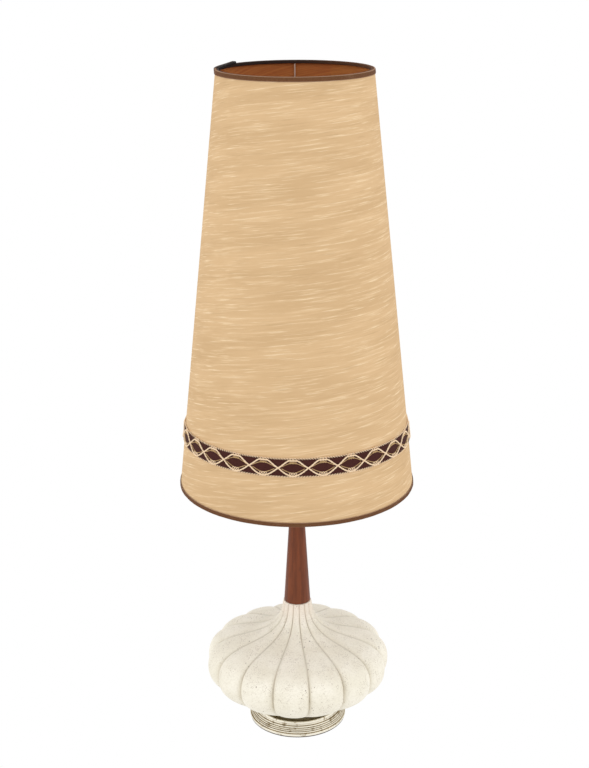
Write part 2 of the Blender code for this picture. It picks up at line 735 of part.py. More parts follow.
def make_switch(interior, shell, sleeve, brass, black):
    """The turn key. Its axis runs forward, out of the socket's front."""
    axis_z = INTERIOR_Z + SWITCH_HEIGHT
    forward = math.radians(90)
    start = INTERIOR_RADIUS - SWITCH_IN_INTERIOR
    knob_start = CAP_RADIUS + KNOB_STANDOFF
    shaft_end = knob_start + SHAFT_IN_KNOB
    hole = rod(
        "switch_hole",
        SWITCH_SHAFT_RADIUS + GAP,
        shaft_end - start,
        black,
        SMALL_SEGMENTS,
        (0, -(start - GAP), axis_z),
    )
    hole.rotation_euler.x = forward
    for piece in (interior, shell, sleeve):
        cut(piece, hole)
    shaft = rod(
        "switch_shaft",
        SWITCH_SHAFT_RADIUS,
        shaft_end - start,
        brass,
        SMALL_SEGMENTS,
        (0, -start, axis_z),
    )
    shaft.rotation_euler.x = forward
    knob = rod(
        "switch_knob",
        KNOB_HUB_RADIUS,
        KNOB_HUB_LENGTH,
        black,
        SMALL_SEGMENTS,
        (0, -knob_start, axis_z),
    )
    knob.rotation_euler.x = forward
    key_start = knob_start + KNOB_HUB_LENGTH / 2
    key = block(
        "switch_key_blade",
        (KEY_WIDTH, KEY_LENGTH, KEY_THICKNESS),
        black,
        (0, -(key_start + KEY_LENGTH / 2), axis_z),
    )
    join(knob, key)
    bore = rod(
        "knob_bore",
        SWITCH_SHAFT_RADIUS + GAP,
        shaft_end + GAP - knob_start + OVERREACH,
        black,
        SMALL_SEGMENTS,
        (0, -(knob_start - OVERREACH), axis_z),
    )
    bore.rotation_euler.x = forward
    cut(knob, bore)


def bulb_outline(inset):
    """The glass from its crown down to its open neck, moved inward by an inset."""
    radius = BULB_RADIUS - inset
    neck = BULB_NECK_RADIUS - inset
    centre = BULB_LENGTH - BULB_RADIUS
    crown = arc((0, centre), radius, 90, -BULB_WRAP, CROWN_ARC_STEPS)
    last = crown[-1]
    slope = math.radians(BULB_WRAP)
    reach = THROAT_PULL_DOWN * BULB_RADIUS
    pull = (last[0] - reach * math.sin(slope), last[1] - reach * math.cos(slope))
    neck_pull = (neck, BULB_NECK_HEIGHT + THROAT_PULL_UP * BULB_RADIUS)
    throat = bezier(last, pull, neck_pull, (neck, BULB_NECK_HEIGHT), THROAT_STEPS)
    crown[0] = (0, centre + radius)
    return crown + throat[1:] + [(neck, 0)]


def make_bulb(brass, glass):
    inner = BULB_CAP_RADIUS - BULB_CAP_WALL
    floor = BULB_TIP_HEIGHT + BULB_CAP_CHAMFER
    outline = [
        (0, floor),
        (inner, floor),
        (inner, BULB_CAP_HEIGHT),
        (BULB_CAP_RADIUS, BULB_CAP_HEIGHT),
        (BULB_CAP_RADIUS, floor),
        (BULB_TIP_RADIUS, BULB_TIP_HEIGHT),
        (BULB_TIP_RADIUS, 0),
        (0, 0),
    ]
    turned("bulb_cap", outline, brass, SOCKET_SEGMENTS, (0, 0, BULB_CAP_Z))
    wall = bulb_outline(0) + bulb_outline(BULB_GLASS_WALL)[::-1]
    turned("bulb_glass", wall, glass, SOCKET_SEGMENTS, (0, 0, BULB_GLASS_Z))
    stem = [(0, STEM_HEIGHT), (STEM_TOP_RADIUS, STEM_HEIGHT), (STEM_FOOT_RADIUS, 0), (0, 0)]
    turned("bulb_stem", stem, glass, SMALL_SEGMENTS, (0, 0, BULB_GLASS_Z))


def harp_side():
    """One side of the harp as (offset, height) points: up the leg, out round the bulb, in to the top."""
    widest = HARP_WIDEST * HARP_HEIGHT
    flare_height = widest - HARP_STRAIGHT
    crown_height = HARP_HEIGHT - widest
    flare = bezier(
        (HARP_LEG_OFFSET, HARP_STRAIGHT),
        (HARP_LEG_OFFSET, HARP_STRAIGHT + FLARE_PULL_OUT * flare_height),
        (HARP_HALF_WIDTH, widest - FLARE_PULL_DOWN * flare_height),
        (HARP_HALF_WIDTH, widest),
        FLARE_STEPS,
    )
    crown = bezier(
        (HARP_HALF_WIDTH, widest),
        (HARP_HALF_WIDTH, widest + CROWN_PULL_UP * crown_height),
        (CROWN_PULL_IN * HARP_HALF_WIDTH, HARP_HEIGHT),
        (0, HARP_HEIGHT),
        CROWN_STEPS,
    )
    return [(HARP_LEG_OFFSET, 0)] + flare + crown[1:]


def make_harp(brass, steel):
    side = harp_side()
    path = [(offset, 0, height) for offset, height in side]
    path += [(-offset, 0, height) for offset, height in side[-2::-1]]
    harp = wire("harp", path, HARP_WIRE_RADIUS, brass, (0, 0, HARP_Z))
    boss_z = HARP_Z + HARP_HEIGHT - HARP_BOSS_HEIGHT / 2
    boss = rod(
        "harp_boss",
        HARP_BOSS_RADIUS,
        HARP_BOSS_HEIGHT,
        brass,
        SMALL_SEGMENTS,
        (0, 0, boss_z),
    )
    join(harp, boss)
    bore = rod(
        "harp_bore",
        RIVET_RADIUS + GAP,
        HARP_BOSS_HEIGHT + 2 * OVERREACH,
        brass,
        SMALL_SEGMENTS,
        (0, 0, boss_z - OVERREACH),
    )
    cut(harp, bore)

    stud_z = boss_z - GAP - RIVET_HEAD_HEIGHT
    shoulder = STUD_SHOULDER_Z - stud_z
    top = shoulder + SHOULDER_THICKNESS + STUD_LENGTH
    outline = [
        (0, top),
        (STUD_RADIUS, top),
        (STUD_RADIUS, shoulder + SHOULDER_THICKNESS),
        (SHOULDER_RADIUS, shoulder + SHOULDER_THICKNESS),
        (SHOULDER_RADIUS, shoulder),
        (RIVET_RADIUS, shoulder),
        (RIVET_RADIUS, RIVET_HEAD_HEIGHT),
        (RIVET_HEAD_RADIUS, RIVET_HEAD_HEIGHT),
        (RIVET_HEAD_RADIUS, 0),
        (0, 0),
    ]
    turned("harp_stud", outline, brass, SMALL_SEGMENTS, (0, 0, stud_z))

    outer_face = HARP_LEG_OFFSET + HARP_WIRE_RADIUS
    centre = (UPRIGHT_INNER_FACE + outer_face) / 2
    bore_radius = math.hypot(outer_face - centre, UPRIGHT_WIDTH / 2) + GAP
    for direction, name in ((-1, "left"), (1, "right")):
        tube(
            f"harp_ferrule_{name}",
            bore_radius,
            bore_radius + FERRULE_WALL,
            FERRULE_LENGTH,
            steel,
            SMALL_SEGMENTS,
            (direction * centre, 0, HARP_Z),
        )


def cover_radius(z):
    """The outer radius of the shade's cover at a height above the table, carried on past its edges."""
    share = (SHADE_TOP_Z - z) / SHADE_HEIGHT
    return SHADE_TOP_RADIUS + share * (SHADE_BOTTOM_RADIUS - SHADE_TOP_RADIUS)


def cone_wall(name, outside, inside, bottom, top, surface):
    """A wall of the shade's cone between two offsets from the cover's outer face."""
    outline = [
        (cover_radius(top) + outside, top),
        (cover_radius(bottom) + outside, bottom),
        (cover_radius(bottom) + inside, bottom),
        (cover_radius(top) + inside, top),
    ]
    turned(name, outline, surface, SHADE_SEGMENTS)


def binding_outline(edge, inward):
    """A tape folded round the rim at a height. Inward is +1 where the shade lies above it, -1 below."""
    outer_face = GAP + TAPE_THICKNESS
    inner_face = -COVER_THICKNESS - LINING_THICKNESS - 2 * RING_WIRE_RADIUS - 3 * GAP
    fold_outside = edge - inward * outer_face
    fold_inside = edge - inward * GAP
    outer_lip = fold_outside + inward * BINDING_HEIGHT
    inner_lip = fold_outside + inward * BINDING_INSIDE_HEIGHT
    corners = [
        (outer_face, outer_lip),
        (outer_face, fold_outside),
        (inner_face - TAPE_THICKNESS, fold_outside),
        (inner_face - TAPE_THICKNESS, inner_lip),
        (inner_face, inner_lip),
        (inner_face, fold_inside),
        (GAP, fold_inside),
        (GAP, outer_lip),
    ]
    return [(cover_radius(z) + offset, z) for offset, z in corners]


def ring_radius(z):
    """The radius of a wire ring's centre line, or of a spider leg's, inside the lining."""
    return cover_radius(z) - COVER_THICKNESS - LINING_THICKNESS - 2 * GAP - RING_WIRE_RADIUS


def make_shade(cloth, lining, tape, braid, steel):
    cone_wall("shade_cover", 0, -COVER_THICKNESS, SHADE_BOTTOM_Z, SHADE_TOP_Z, cloth)
    lining_face = -COVER_THICKNESS - GAP
    cone_wall(
        "shade_lining",
        lining_face,
        lining_face - LINING_THICKNESS,
        SHADE_BOTTOM_Z,
        SHADE_TOP_Z,
        lining,
    )
    braid_z = SHADE_BOTTOM_Z + BRAID_RISE
    cone_wall("braid_band", GAP + BRAID_THICKNESS, GAP, braid_z, braid_z + BRAID_WIDTH, braid)
    turned("top_binding", binding_outline(SHADE_TOP_Z, -1), tape, SHADE_SEGMENTS)
    turned("bottom_binding", binding_outline(SHADE_BOTTOM_Z, 1), tape, SHADE_SEGMENTS)
    for name, z in (("shade_top_ring", TOP_RING_Z), ("shade_bottom_ring", BOTTOM_RING_Z)):
        section = arc((ring_radius(z), 0), RING_WIRE_RADIUS, 0, 360, WIRE_SIDES)[:-1]
        turned(name, section[::-1], steel, SHADE_SEGMENTS, (0, 0, z))


def make_spider(steel):
    """The washer on the harp's stud, and the arms that run out to the shade's wall and up to its ring."""
    tube(
        "spider_hub",
        STUD_RADIUS + GAP,
        HUB_RADIUS,
        HUB_THICKNESS,
        steel,
        SMALL_SEGMENTS,
        (0, 0, HUB_Z),
    )
    arm_z = HUB_Z + HUB_THICKNESS / 2
    corner = (ring_radius(arm_z), 0)
    leg_top = SPIDER_DROP - RING_WIRE_RADIUS - GAP
    bend_top = (ring_radius(arm_z + ARM_BEND), ARM_BEND)
    bend = bezier((corner[0] - ARM_BEND, 0), corner, corner, bend_top, ARM_BEND_STEPS)
    side = [(HUB_RADIUS + GAP, 0)] + bend + [(ring_radius(arm_z + leg_top), leg_top)]
    path = [(radius, 0, height) for radius, height in side]
    first = None
    for i in range(SPIDER_ARMS):
        name = f"spider_arm_{i + 1}"
        if first is None:
            arm = first = wire(name, path, ARM_WIRE_RADIUS, steel, (0, 0, arm_z))
        else:
            arm = bpy.data.objects.new(name, first.data)
            arm.location = first.location
            bpy.context.collection.objects.link(arm)
        arm.rotation_euler.z = FIRST_ARM + math.tau * i / SPIDER_ARMS


def make_finial(brass):
    bore = STUD_RADIUS + GAP
    tube(
        "finial_seat",
        bore,
        FINIAL_SEAT_RADIUS,
        FINIAL_SEAT_HEIGHT,
        brass,
        SMALL_SEGMENTS,
        (0, 0, FINIAL_Z),
    )
    hole_radius = FINIAL_SEAT_RADIUS + GAP
    hole_depth = FINIAL_SEAT_HEIGHT + GAP
    ball_centre = FINIAL_HEIGHT - FINIAL_BALL_RADIUS
    ball = arc((0, ball_centre), FINIAL_BALL_RADIUS, 90, -FINIAL_BALL_WRAP, BALL_STEPS)
    ball[0] = (0, FINIAL_HEIGHT)
    outline = ball + [
        (FINIAL_WAIST_RADIUS, FINIAL_FOOT_HEIGHT + FINIAL_COVE_HEIGHT),
        (FINIAL_FOOT_RADIUS, FINIAL_FOOT_HEIGHT),
        (FINIAL_FOOT_RADIUS, 0),
        (hole_radius, 0),
        (hole_radius, hole_depth),
        (0, hole_depth),
    ]
    turned("finial_knob", outline, brass, SMALL_SEGMENTS, (0, 0, FINIAL_Z))


def main():
    for old in list(bpy.data.objects):
        bpy.data.objects.remove(old)
    brass = look("brass", (0.62, 0.48, 0.24), 0.32, 1.0)
    antique = look("antique_brass", (0.66, 0.60, 0.44), 0.38, 1.0)
    steel = look("zinc_plated_steel", (0.62, 0.61, 0.58), 0.35, 1.0)
    felt = look("felt", (0.07, 0.06, 0.05), 0.95)
    rubber = look("rubber", (0.03, 0.03, 0.03), 0.6)
    ceramic = look("ceramic", (0.84, 0.79, 0.70), 0.55)
    wood = look("walnut", (0.19, 0.06, 0.03), 0.4)
    phenolic = look("phenolic", (0.04, 0.03, 0.025), 0.45)
    card = look("card", (0.30, 0.22, 0.13), 0.85)
    glass = look("frosted_glass", (0.92, 0.91, 0.88), 0.35)
    cloth = look("slub_cloth", (0.62, 0.42, 0.22), 0.85)
    lining = look("lining", (0.30, 0.11, 0.04), 0.8)
    tape = look("binding_tape", (0.16, 0.07, 0.035), 0.8)
    braid = look("braid", (0.10, 0.05, 0.05), 0.85)

    make_base(antique, felt, steel, rubber)
    make_body(ceramic)
    make_stem(wood, brass)
    make_saddle(brass, steel)
    make_socket_cap(brass, steel)
    interior = make_socket_interior(phenolic, brass)
    shell, sleeve = make_socket_shell(brass, card)
    make_switch(interior, shell, sleeve, brass, rubber)
    make_bulb(brass, glass)
    make_harp(brass, steel)
    make_shade(cloth, lining, tape, braid, steel)
    make_spider(steel)
    make_finial(brass)


main()
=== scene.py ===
"""The looks of the table lamp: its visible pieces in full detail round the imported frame, and its materials.

Metres, in the frame's own coordinates: +Z up, the lamp's axis through the origin, its front towards -Y.
Azimuths are measured about the axis from the lamp's front, positive towards +X.
"""

import json
import math

import bmesh
import bpy
import numpy as np
from mathutils import Matrix, Vector, noise


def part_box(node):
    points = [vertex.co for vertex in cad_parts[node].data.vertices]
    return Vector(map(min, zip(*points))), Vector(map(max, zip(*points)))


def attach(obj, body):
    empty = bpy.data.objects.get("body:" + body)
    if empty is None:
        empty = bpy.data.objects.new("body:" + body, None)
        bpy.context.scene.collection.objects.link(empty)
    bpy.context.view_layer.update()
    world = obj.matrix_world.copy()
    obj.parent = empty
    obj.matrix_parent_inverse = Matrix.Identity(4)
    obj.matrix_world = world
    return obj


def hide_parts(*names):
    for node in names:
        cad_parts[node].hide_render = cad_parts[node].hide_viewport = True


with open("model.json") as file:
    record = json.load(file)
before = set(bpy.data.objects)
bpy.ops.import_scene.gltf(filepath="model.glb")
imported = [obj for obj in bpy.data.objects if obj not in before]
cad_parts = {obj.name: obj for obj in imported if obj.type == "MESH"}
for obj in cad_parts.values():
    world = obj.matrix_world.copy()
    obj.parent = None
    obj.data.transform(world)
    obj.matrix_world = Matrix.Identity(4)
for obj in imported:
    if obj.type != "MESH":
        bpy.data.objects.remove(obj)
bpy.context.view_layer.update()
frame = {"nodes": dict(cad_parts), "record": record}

MM = 0.001
WELD = 0.002 * MM
NEAR = 0.05 * MM            # points of the frame within this of a height are at that height
SMOOTH_ANGLE = math.radians(32)

UPRIGHT = Matrix.Identity(4)
TURN_SEGMENTS = 96
FINE_SEGMENTS = 48          # round the small pieces
SHADE_COLUMNS = 288
WIRE_SIDES = 14

CLEARANCE = 0.3 * MM        # of a hole round its piece, and of the braid from the cover

# Studio
WORLD_STRENGTH = 1.0
LIGHT_AIM = (0, 0, 0.55)
LIGHTS = (
    ("left", (-2.6, -1.3, 1.9), 1.8, 14),
    ("right", (2.6, -1.3, 1.7), 1.8, 14),
)

# Camera
CAMERA_PLACE = (-2.9 * MM, -2167.6 * MM, 1319.7 * MM)
CAMERA_PITCH = math.radians(18.472)
CAMERA_ROLL = math.radians(-0.28)
CAMERA_LENS = 67.28         # on a 36 mm sensor

# Ceramic body
LOBES = 15
LOBE_COLUMNS = 24
FIRST_VALLEY = math.radians(7.6)
SHOULDER_STEPS = 64
BOWL_STEPS = 44
LOBE_DEPTH = 12 * MM
RIB_DEPTH = 2.2 * MM
DEPTH_GROWTH = 0.7          # lower brings the lobes' full depth nearer the collar
LOBE_FULLNESS = 2.4
CREASE_SHARPNESS = 0.62
BODY_EQUATOR = 80.9 * MM    # above the foot
NECKLINE_PULL = 0.55        # the outline's curve handles, as shares of the height or radius beside each
SHOULDER_PULL = 0.79
BELLY_PULL = 0.6
FOOT_PULL_UP = 0.51
FOOT_PULL_OUT = 2.14
CERAMIC_WALL = 5 * MM
UNEVENNESS = 0.45 * MM
UNEVEN_SPACING = 38 * MM
EVEN_FOOT = 20 * MM         # the unevenness fades out over this height at the foot, and at the collar
EVEN_COLLAR = 10 * MM
COLLAR_ROUNDING = 1.2 * MM
CREASE_SHADE = 0.62         # the creases' painted shade, what the collar adds to it and what the foot takes off
COLLAR_SHADE = 0.38
FOOT_SHADE = 0.2

# Base
RIDGES = (                  # each ridge's height in mm, and how far in it stands from the one below
    (4.2, 0.0),
    (3.0, 2.2),
    (2.6, 1.2),
    (2.6, 1.3),
    (3.0, 1.5),
    (3.0, 2.0),
)
RIDGE_BULGE = 0.6 * MM
LIP_REACH = 6.6 * MM        # of the raised lip's middle outside the flat top
LIP_DROP = 1.0 * MM
LIP_RADIUS = 1.7 * MM
SEAT_INSET = 2 * MM         # of the raised seat's edge inside the flat top's
RECESS_DEPTH = 6 * MM
BASE_WALL = 1.5 * MM
GROOVE_WIDTH = 0.9 * MM     # of the tarnish beside each groove
LOCK_TEETH = 12             # round the lock washer
TOOTH_DEPTH = 1.2 * MM

# Threads
ROD_PITCH = 0.94 * MM
ROD_THREAD = 0.3 * MM
LAMP_PITCH = 3.63 * MM
LAMP_THREAD = 0.45 * MM
LAMP_STEP = 0.45 * MM       # longest step along a piece that has this thread
STUD_PITCH = 0.94 * MM
THREAD_SHOWN = 14 * MM      # length of thread cut at each end of the rod

# Bulb
BULB_WALL = 1 * MM
BULB_NECK_HEIGHT = 22 * MM
BULB_WRAP = 30              # degrees that the round crown runs on below its widest place
THROAT_PULL_DOWN = 0.6
THROAT_PULL_UP = 0.4

# Socket and switch key
SHELL_BEADS = 40            # round each of the shell's two rows
BEAD_HALF = 1.3 * MM        # half the height of a row of beads
KEY_HUB = 6 * MM
KEY_TAPER = 0.86
KEY_BLADE = 4 * MM
KEY_BLADE_ROUNDING = 1.9 * MM

# Finial and spider
FINIAL_FOOT = 3 * MM
FINIAL_COVE = 3 * MM
FINIAL_WRAP = 48            # degrees that the ball runs on below its widest place
ARM_WIRE = 1.2 * MM
ARM_BEND = 9 * MM

# Harp
HARP_STRAIGHT = 28 * MM
FERRULE_BEAD = 0.9 * MM
FERRULE_BEAD_INSET = 2.2 * MM
HARP_WIDEST = 0.42          # height of its widest place, as a share of its height
FLARE_PULL_OUT = 0.3
FLARE_PULL_DOWN = 0.5
CROWN_PULL_UP = 0.74
CROWN_PULL_IN = 0.6

# Shade cloth. The sheet's two ends overlap at the seam.
SEAM = math.radians(-122)
SEAM_OVERLAP = 9 * MM
CLOTH_THICKNESS = 0.34 * MM
LINING_THICKNESS = 0.26 * MM
COVER_INSET = 0.4 * MM      # of the cloth's outer face inside the cover's
LINING_AIR = 0.1 * MM
SEAM_RAMP = 4 * MM
LAP_AIR = 0.03 * MM

# Bindings
TAPE_THICKNESS = 0.6 * MM
TAPE_ROUNDING = 1.6 * MM
TAPE_WAVER = 0.22 * MM
TAPE_END_SPAN = (math.radians(-92), math.radians(-127))
TAPE_END_LIFT = 2.6 * MM
TAPE_END_OUTSIDE = 5 * MM   # how far the spare end comes down outside the rim, and inside
TAPE_END_INSIDE = 3 * MM
TAPE_END_AIR = 0.1 * MM

# Braid
DIAMONDS = 25
FIRST_CROSSING = math.radians(5.4)
GROUND_THICKNESS = 0.9 * MM
CORD_RADIUS = 1.1 * MM
CORD_PLY = 0.16             # how far its two strands show, as a share of its radius
THIN_CORD_RADIUS = 0.56 * MM
CROSSING_SPAN = 0.09        # of the cord's rise over or dip under itself, in diamonds' widths
UPPER_TIP = (11.3 * MM, 0.14)   # height from the braid's middle, and half width as a share of a diamond's
LOWER_TIP = (12.3 * MM, 0.055)
UPPER_LOOPS = (12.8 * MM, 2.1 * MM, 5.4 * MM, 2)    # height, radius, spacing and count of the small rings
UPPER_INNER_LOOPS = (8.0 * MM, 1.3 * MM, 3.6 * MM, 3)
LOWER_LOOPS = (-9.0 * MM, 1.6 * MM, 3.9 * MM, 3)
LOOP_WIRE = 0.5 * MM
INNER_ARC = 8.0 * MM        # height of the thin arcs inside each diamond, and their fall to the sides
INNER_ARC_DROP = 6.6 * MM
INNER_ARC_SPAN = 0.38       # half their width, as a share of a diamond's width
EDGE_WIDTH = 1.8 * MM       # of the braid's picot edges
PICOTS = 270                # along each edge
PICOT_RADIUS = 1.0 * MM
PICOT_WIRE = 0.6 * MM
PICOT_OFFSET = 1.1 * MM     # of the light picots outside the dark ones
TWIST_LENGTH = 4.2 * MM


# ---- reading the frame

BODY_OF = {
    node: body
    for body, nodes in frame["record"]["behaviour"]["bodies"].items()
    for node in nodes
}


def levels(node):
    """The lowest and highest point of a CAD node."""
    low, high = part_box(node)
    return low.z, high.z


def points_of(node):
    """The points of a CAD node."""
    return [vertex.co for vertex in frame["nodes"][node].data.vertices]


def points_at(node, height):
    """The points of a CAD node at a height."""
    return [p for p in points_of(node) if abs(p.z - height) < NEAR]


def reaches(points):
    """The smallest and largest distance of points from the axis."""
    radii = [math.hypot(p.x, p.y) for p in points]
    return min(radii), max(radii)


def rims(node, height):
    """The smallest and largest distance from the axis of a CAD node's points at a height."""
    return reaches(points_at(node, height))


def outline_of(node, place=UPRIGHT):
    """The (radius, height) outline of a turned CAD node: a loop, or a line whose ends are on the axis."""
    mesh = frame["nodes"][node].data
    back = place.inverted()
    keys = []
    for vertex in mesh.vertices:
        point = back @ vertex.co
        in_section = abs(point.y) < WELD and point.x > -WELD
        keys.append((round(point.x, 6), round(point.z, 6)) if in_section else None)
    beside = {}
    for edge in mesh.edges:
        first, last = (keys[i] for i in edge.vertices)
        if first and last and first != last:
            beside.setdefault(first, set()).add(last)
            beside.setdefault(last, set()).add(first)
    outline = [min(beside, key=lambda key: (len(beside[key]), key))]
    while True:
        ahead = [key for key in beside[outline[-1]] if key not in outline]
        if not ahead:
            return [(abs(radius), height) for radius, height in outline]
        outline.append(min(ahead))


def facing(direction, start):
    """The axes of a piece turned about a line that runs in a direction from a start point."""
    turn = Vector(direction).to_track_quat("Z", "Y").to_matrix().to_4x4()
    return Matrix.Translation(start) @ turn


def bore_and_rim(node):
    """The smallest and largest distance from the axis of all of a CAD node's points."""
    return reaches(points_of(node))


def fit(piece, *nodes):
    """The piece stands for these CAD nodes, which are hidden: it rides on their body."""
    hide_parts(*nodes)
    return join_body(piece, BODY_OF[nodes[0]])


def join_body(piece, body):
    """The piece rides on a body, with the slot of its own material."""
    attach(piece, body)
    return piece


# ---- outlines


def bezier(start, pull_start, pull_end, end, steps):
    """Points along a cubic curve, both ends included."""
    t = np.linspace(0, 1, steps + 1)[:, None]
    corners = np.array([start, pull_start, pull_end, end], float)
    weights = np.hstack([(1 - t) ** 3, 3 * t * (1 - t) ** 2, 3 * t**2 * (1 - t), t**3])
    return [tuple(point) for point in weights @ corners]


def arc(centre, radius, first, last, steps):
    """Points on an arc in the (radius, height) plane, from one angle to another in degrees."""
    angles = np.radians(np.linspace(first, last, steps + 1))
    return [(centre[0] + radius * math.cos(a), centre[1] + radius * math.sin(a)) for a in angles]


def softened(outline, radius, steps=3):
    """A closed outline with its corners rounded. Points on the axis stay."""
    made = []
    for i, corner in enumerate(outline):
        corner = np.array(corner, float)
        if corner[0] < WELD:
            made.append(tuple(corner))
            continue
        ends = []
        for other in (outline[i - 1], outline[(i + 1) % len(outline)]):
            step = np.array(other, float) - corner
            length = np.linalg.norm(step)
            ends.append(corner + step / length * min(radius, 0.45 * length))
        for t in np.linspace(0, 1, steps + 1):
            made.append(tuple((1 - t) ** 2 * ends[0] + 2 * t * (1 - t) * corner + t**2 * ends[1]))
    return made


def around_axis(radius, azimuth, height):
    """Points from their distances from the axis, azimuths and heights."""
    places = (radius * np.sin(azimuth), -radius * np.cos(azimuth), height)
    return np.stack(np.broadcast_arrays(*places), -1)


def divided(outline, longest):
    """A closed outline with its long stretches cut into steps no longer than a length."""
    made = []
    for here, there in zip(outline, outline[1:] + outline[:1]):
        here = np.array(here, float)
        there = np.array(there, float)
        steps = max(1, math.ceil(np.linalg.norm(there - here) / longest))
        made += [tuple(here + (there - here) * k / steps) for k in range(steps)]
    return made


# ---- meshes


def lofted(name, rows, surface, loop=True, weld=True, smooth=SMOOTH_ANGLE):
    """A surface through rows of points, each row a closed loop. The rows close up, or end in caps."""
    rows = np.asarray(rows, float)
    index = np.arange(rows.shape[0] * rows.shape[1]).reshape(rows.shape[:2])
    caps = [] if loop else [index[0].tolist(), index[-1].tolist()]
    if loop:
        index = np.vstack([index, index[:1]])
    index = np.hstack([index, index[:, :1]])
    corners = (index[:-1, :-1], index[:-1, 1:], index[1:, 1:], index[1:, :-1])
    faces = np.stack(corners, axis=-1).reshape(-1, 4).tolist() + caps
    mesh = bpy.data.meshes.new(name)
    mesh.from_pydata(rows.reshape(-1, 3).tolist(), [], faces)
    return piece_of(name, mesh, surface, weld, smooth)


def piece_of(name, mesh, surface, weld=True, smooth=SMOOTH_ANGLE):
    """An object from a mesh, with its faces turned outward and its corners sharp."""
    shape = bmesh.new()
    shape.from_mesh(mesh)
    if weld:
        bmesh.ops.remove_doubles(shape, verts=shape.verts, dist=WELD)
    bmesh.ops.recalc_face_normals(shape, faces=shape.faces)
    shape.to_mesh(mesh)
    shape.free()
    mesh.shade_smooth()
    mesh.set_sharp_from_angle(angle=smooth)
    mesh.materials.append(surface)
    piece = bpy.data.objects.new(name, mesh)
    bpy.context.collection.objects.link(piece)
    return piece


def turned(name, outline, surface, segments=TURN_SEGMENTS, relief=None):
    """A turned piece from a closed outline. Relief(radius, height, azimuth) is added to its radius."""
    radius, height = np.array(outline, float).T[:, None, :]
    azimuth = (np.arange(segments) * math.tau / segments)[:, None]
    if relief is not None:
        radius = radius + relief(radius, height, azimuth)
    return lofted(name, around_axis(radius, azimuth, height), surface)


def mark(piece, name, values, kind="FLOAT", key="value"):
    """Gives each point of a piece something for its material to read."""
    piece.data.attributes.new(name, kind, "POINT").data.foreach_set(key, np.ravel(values))


def swept(name, path, radius, surface, outward, sides=WIRE_SIDES, loop=False, ply=0.0, twist=0.0):
    """A round wire along a path. Outward gives its section's first direction at each point. With ply it is
    a cord of two strands, which go round each other twist / 2 times along it."""
    path = np.array(path, float)
    ahead = np.roll(path, -1, 0) - np.roll(path, 1, 0) if loop else np.gradient(path, axis=0)
    ahead /= np.linalg.norm(ahead, axis=1)[:, None]
    side = np.broadcast_to(np.array(outward, float), path.shape)
    side = side - ahead * (side * ahead).sum(1)[:, None]
    side /= np.linalg.norm(side, axis=1)[:, None]
    up = np.cross(ahead, side)
    angle = (np.arange(sides) * math.tau / sides)[None, :]
    share = (np.arange(len(path)) / len(path))[:, None]
    thick = np.broadcast_to(np.array(radius, float), (len(path),))[:, None]
    reach = (thick * (1 + ply * np.cos(2 * angle - math.tau * twist * share)))[..., None]
    angle = angle[..., None]
    rows = path[:, None] + reach * (np.cos(angle) * side[:, None] + np.sin(angle) * up[:, None])
    return lofted(name, rows, surface, loop=loop)


def block(name, size, surface, place, rounding):
    """A box with its centre at a place and rounded edges."""
    shape = bmesh.new()
    bmesh.ops.create_cube(shape, size=1)
    bmesh.ops.scale(shape, vec=size, verts=shape.verts)
    bmesh.ops.bevel(
        shape, geom=shape.edges[:], offset=rounding, segments=3, profile=0.5, affect="EDGES"
    )
    bmesh.ops.translate(shape, vec=place, verts=shape.verts)
    mesh = bpy.data.meshes.new(name)
    shape.to_mesh(mesh)
    shape.free()
    return piece_of(name, mesh, surface)


def combined(piece, other, operation):
    """Adds or removes another piece's solid, and deletes it."""
    modifier = piece.modifiers.new(operation.title(), "BOOLEAN")
    modifier.operation = operation
    modifier.object = other
    graph = bpy.context.evaluated_depsgraph_get()
    solid = bpy.data.meshes.new_from_object(piece.evaluated_get(graph))
    piece.modifiers.clear()
    piece.data = solid
    solid.shade_smooth()
    solid.set_sharp_from_angle(angle=SMOOTH_ANGLE)
    bpy.data.objects.remove(other)
    return piece


def joined(name, pieces):
    """One piece from several."""
    first = pieces[0]
    first.name = name
    with bpy.context.temp_override(active_object=first, selected_editable_objects=pieces):
        bpy.ops.object.join()
    return first


def helix(pitch, depth, low, high, least):
    """The relief of a thread between two heights, cut into the faces at least so far from the axis."""

    def relief(radius, height, azimuth):
        turn = (height / pitch + azimuth / math.tau) % 1
        groove = depth * np.abs(2 * turn - 1)
        return np.where((height > low) & (height < high) & (radius >= least), -groove, 0.0)

    return relief


# ---- materials


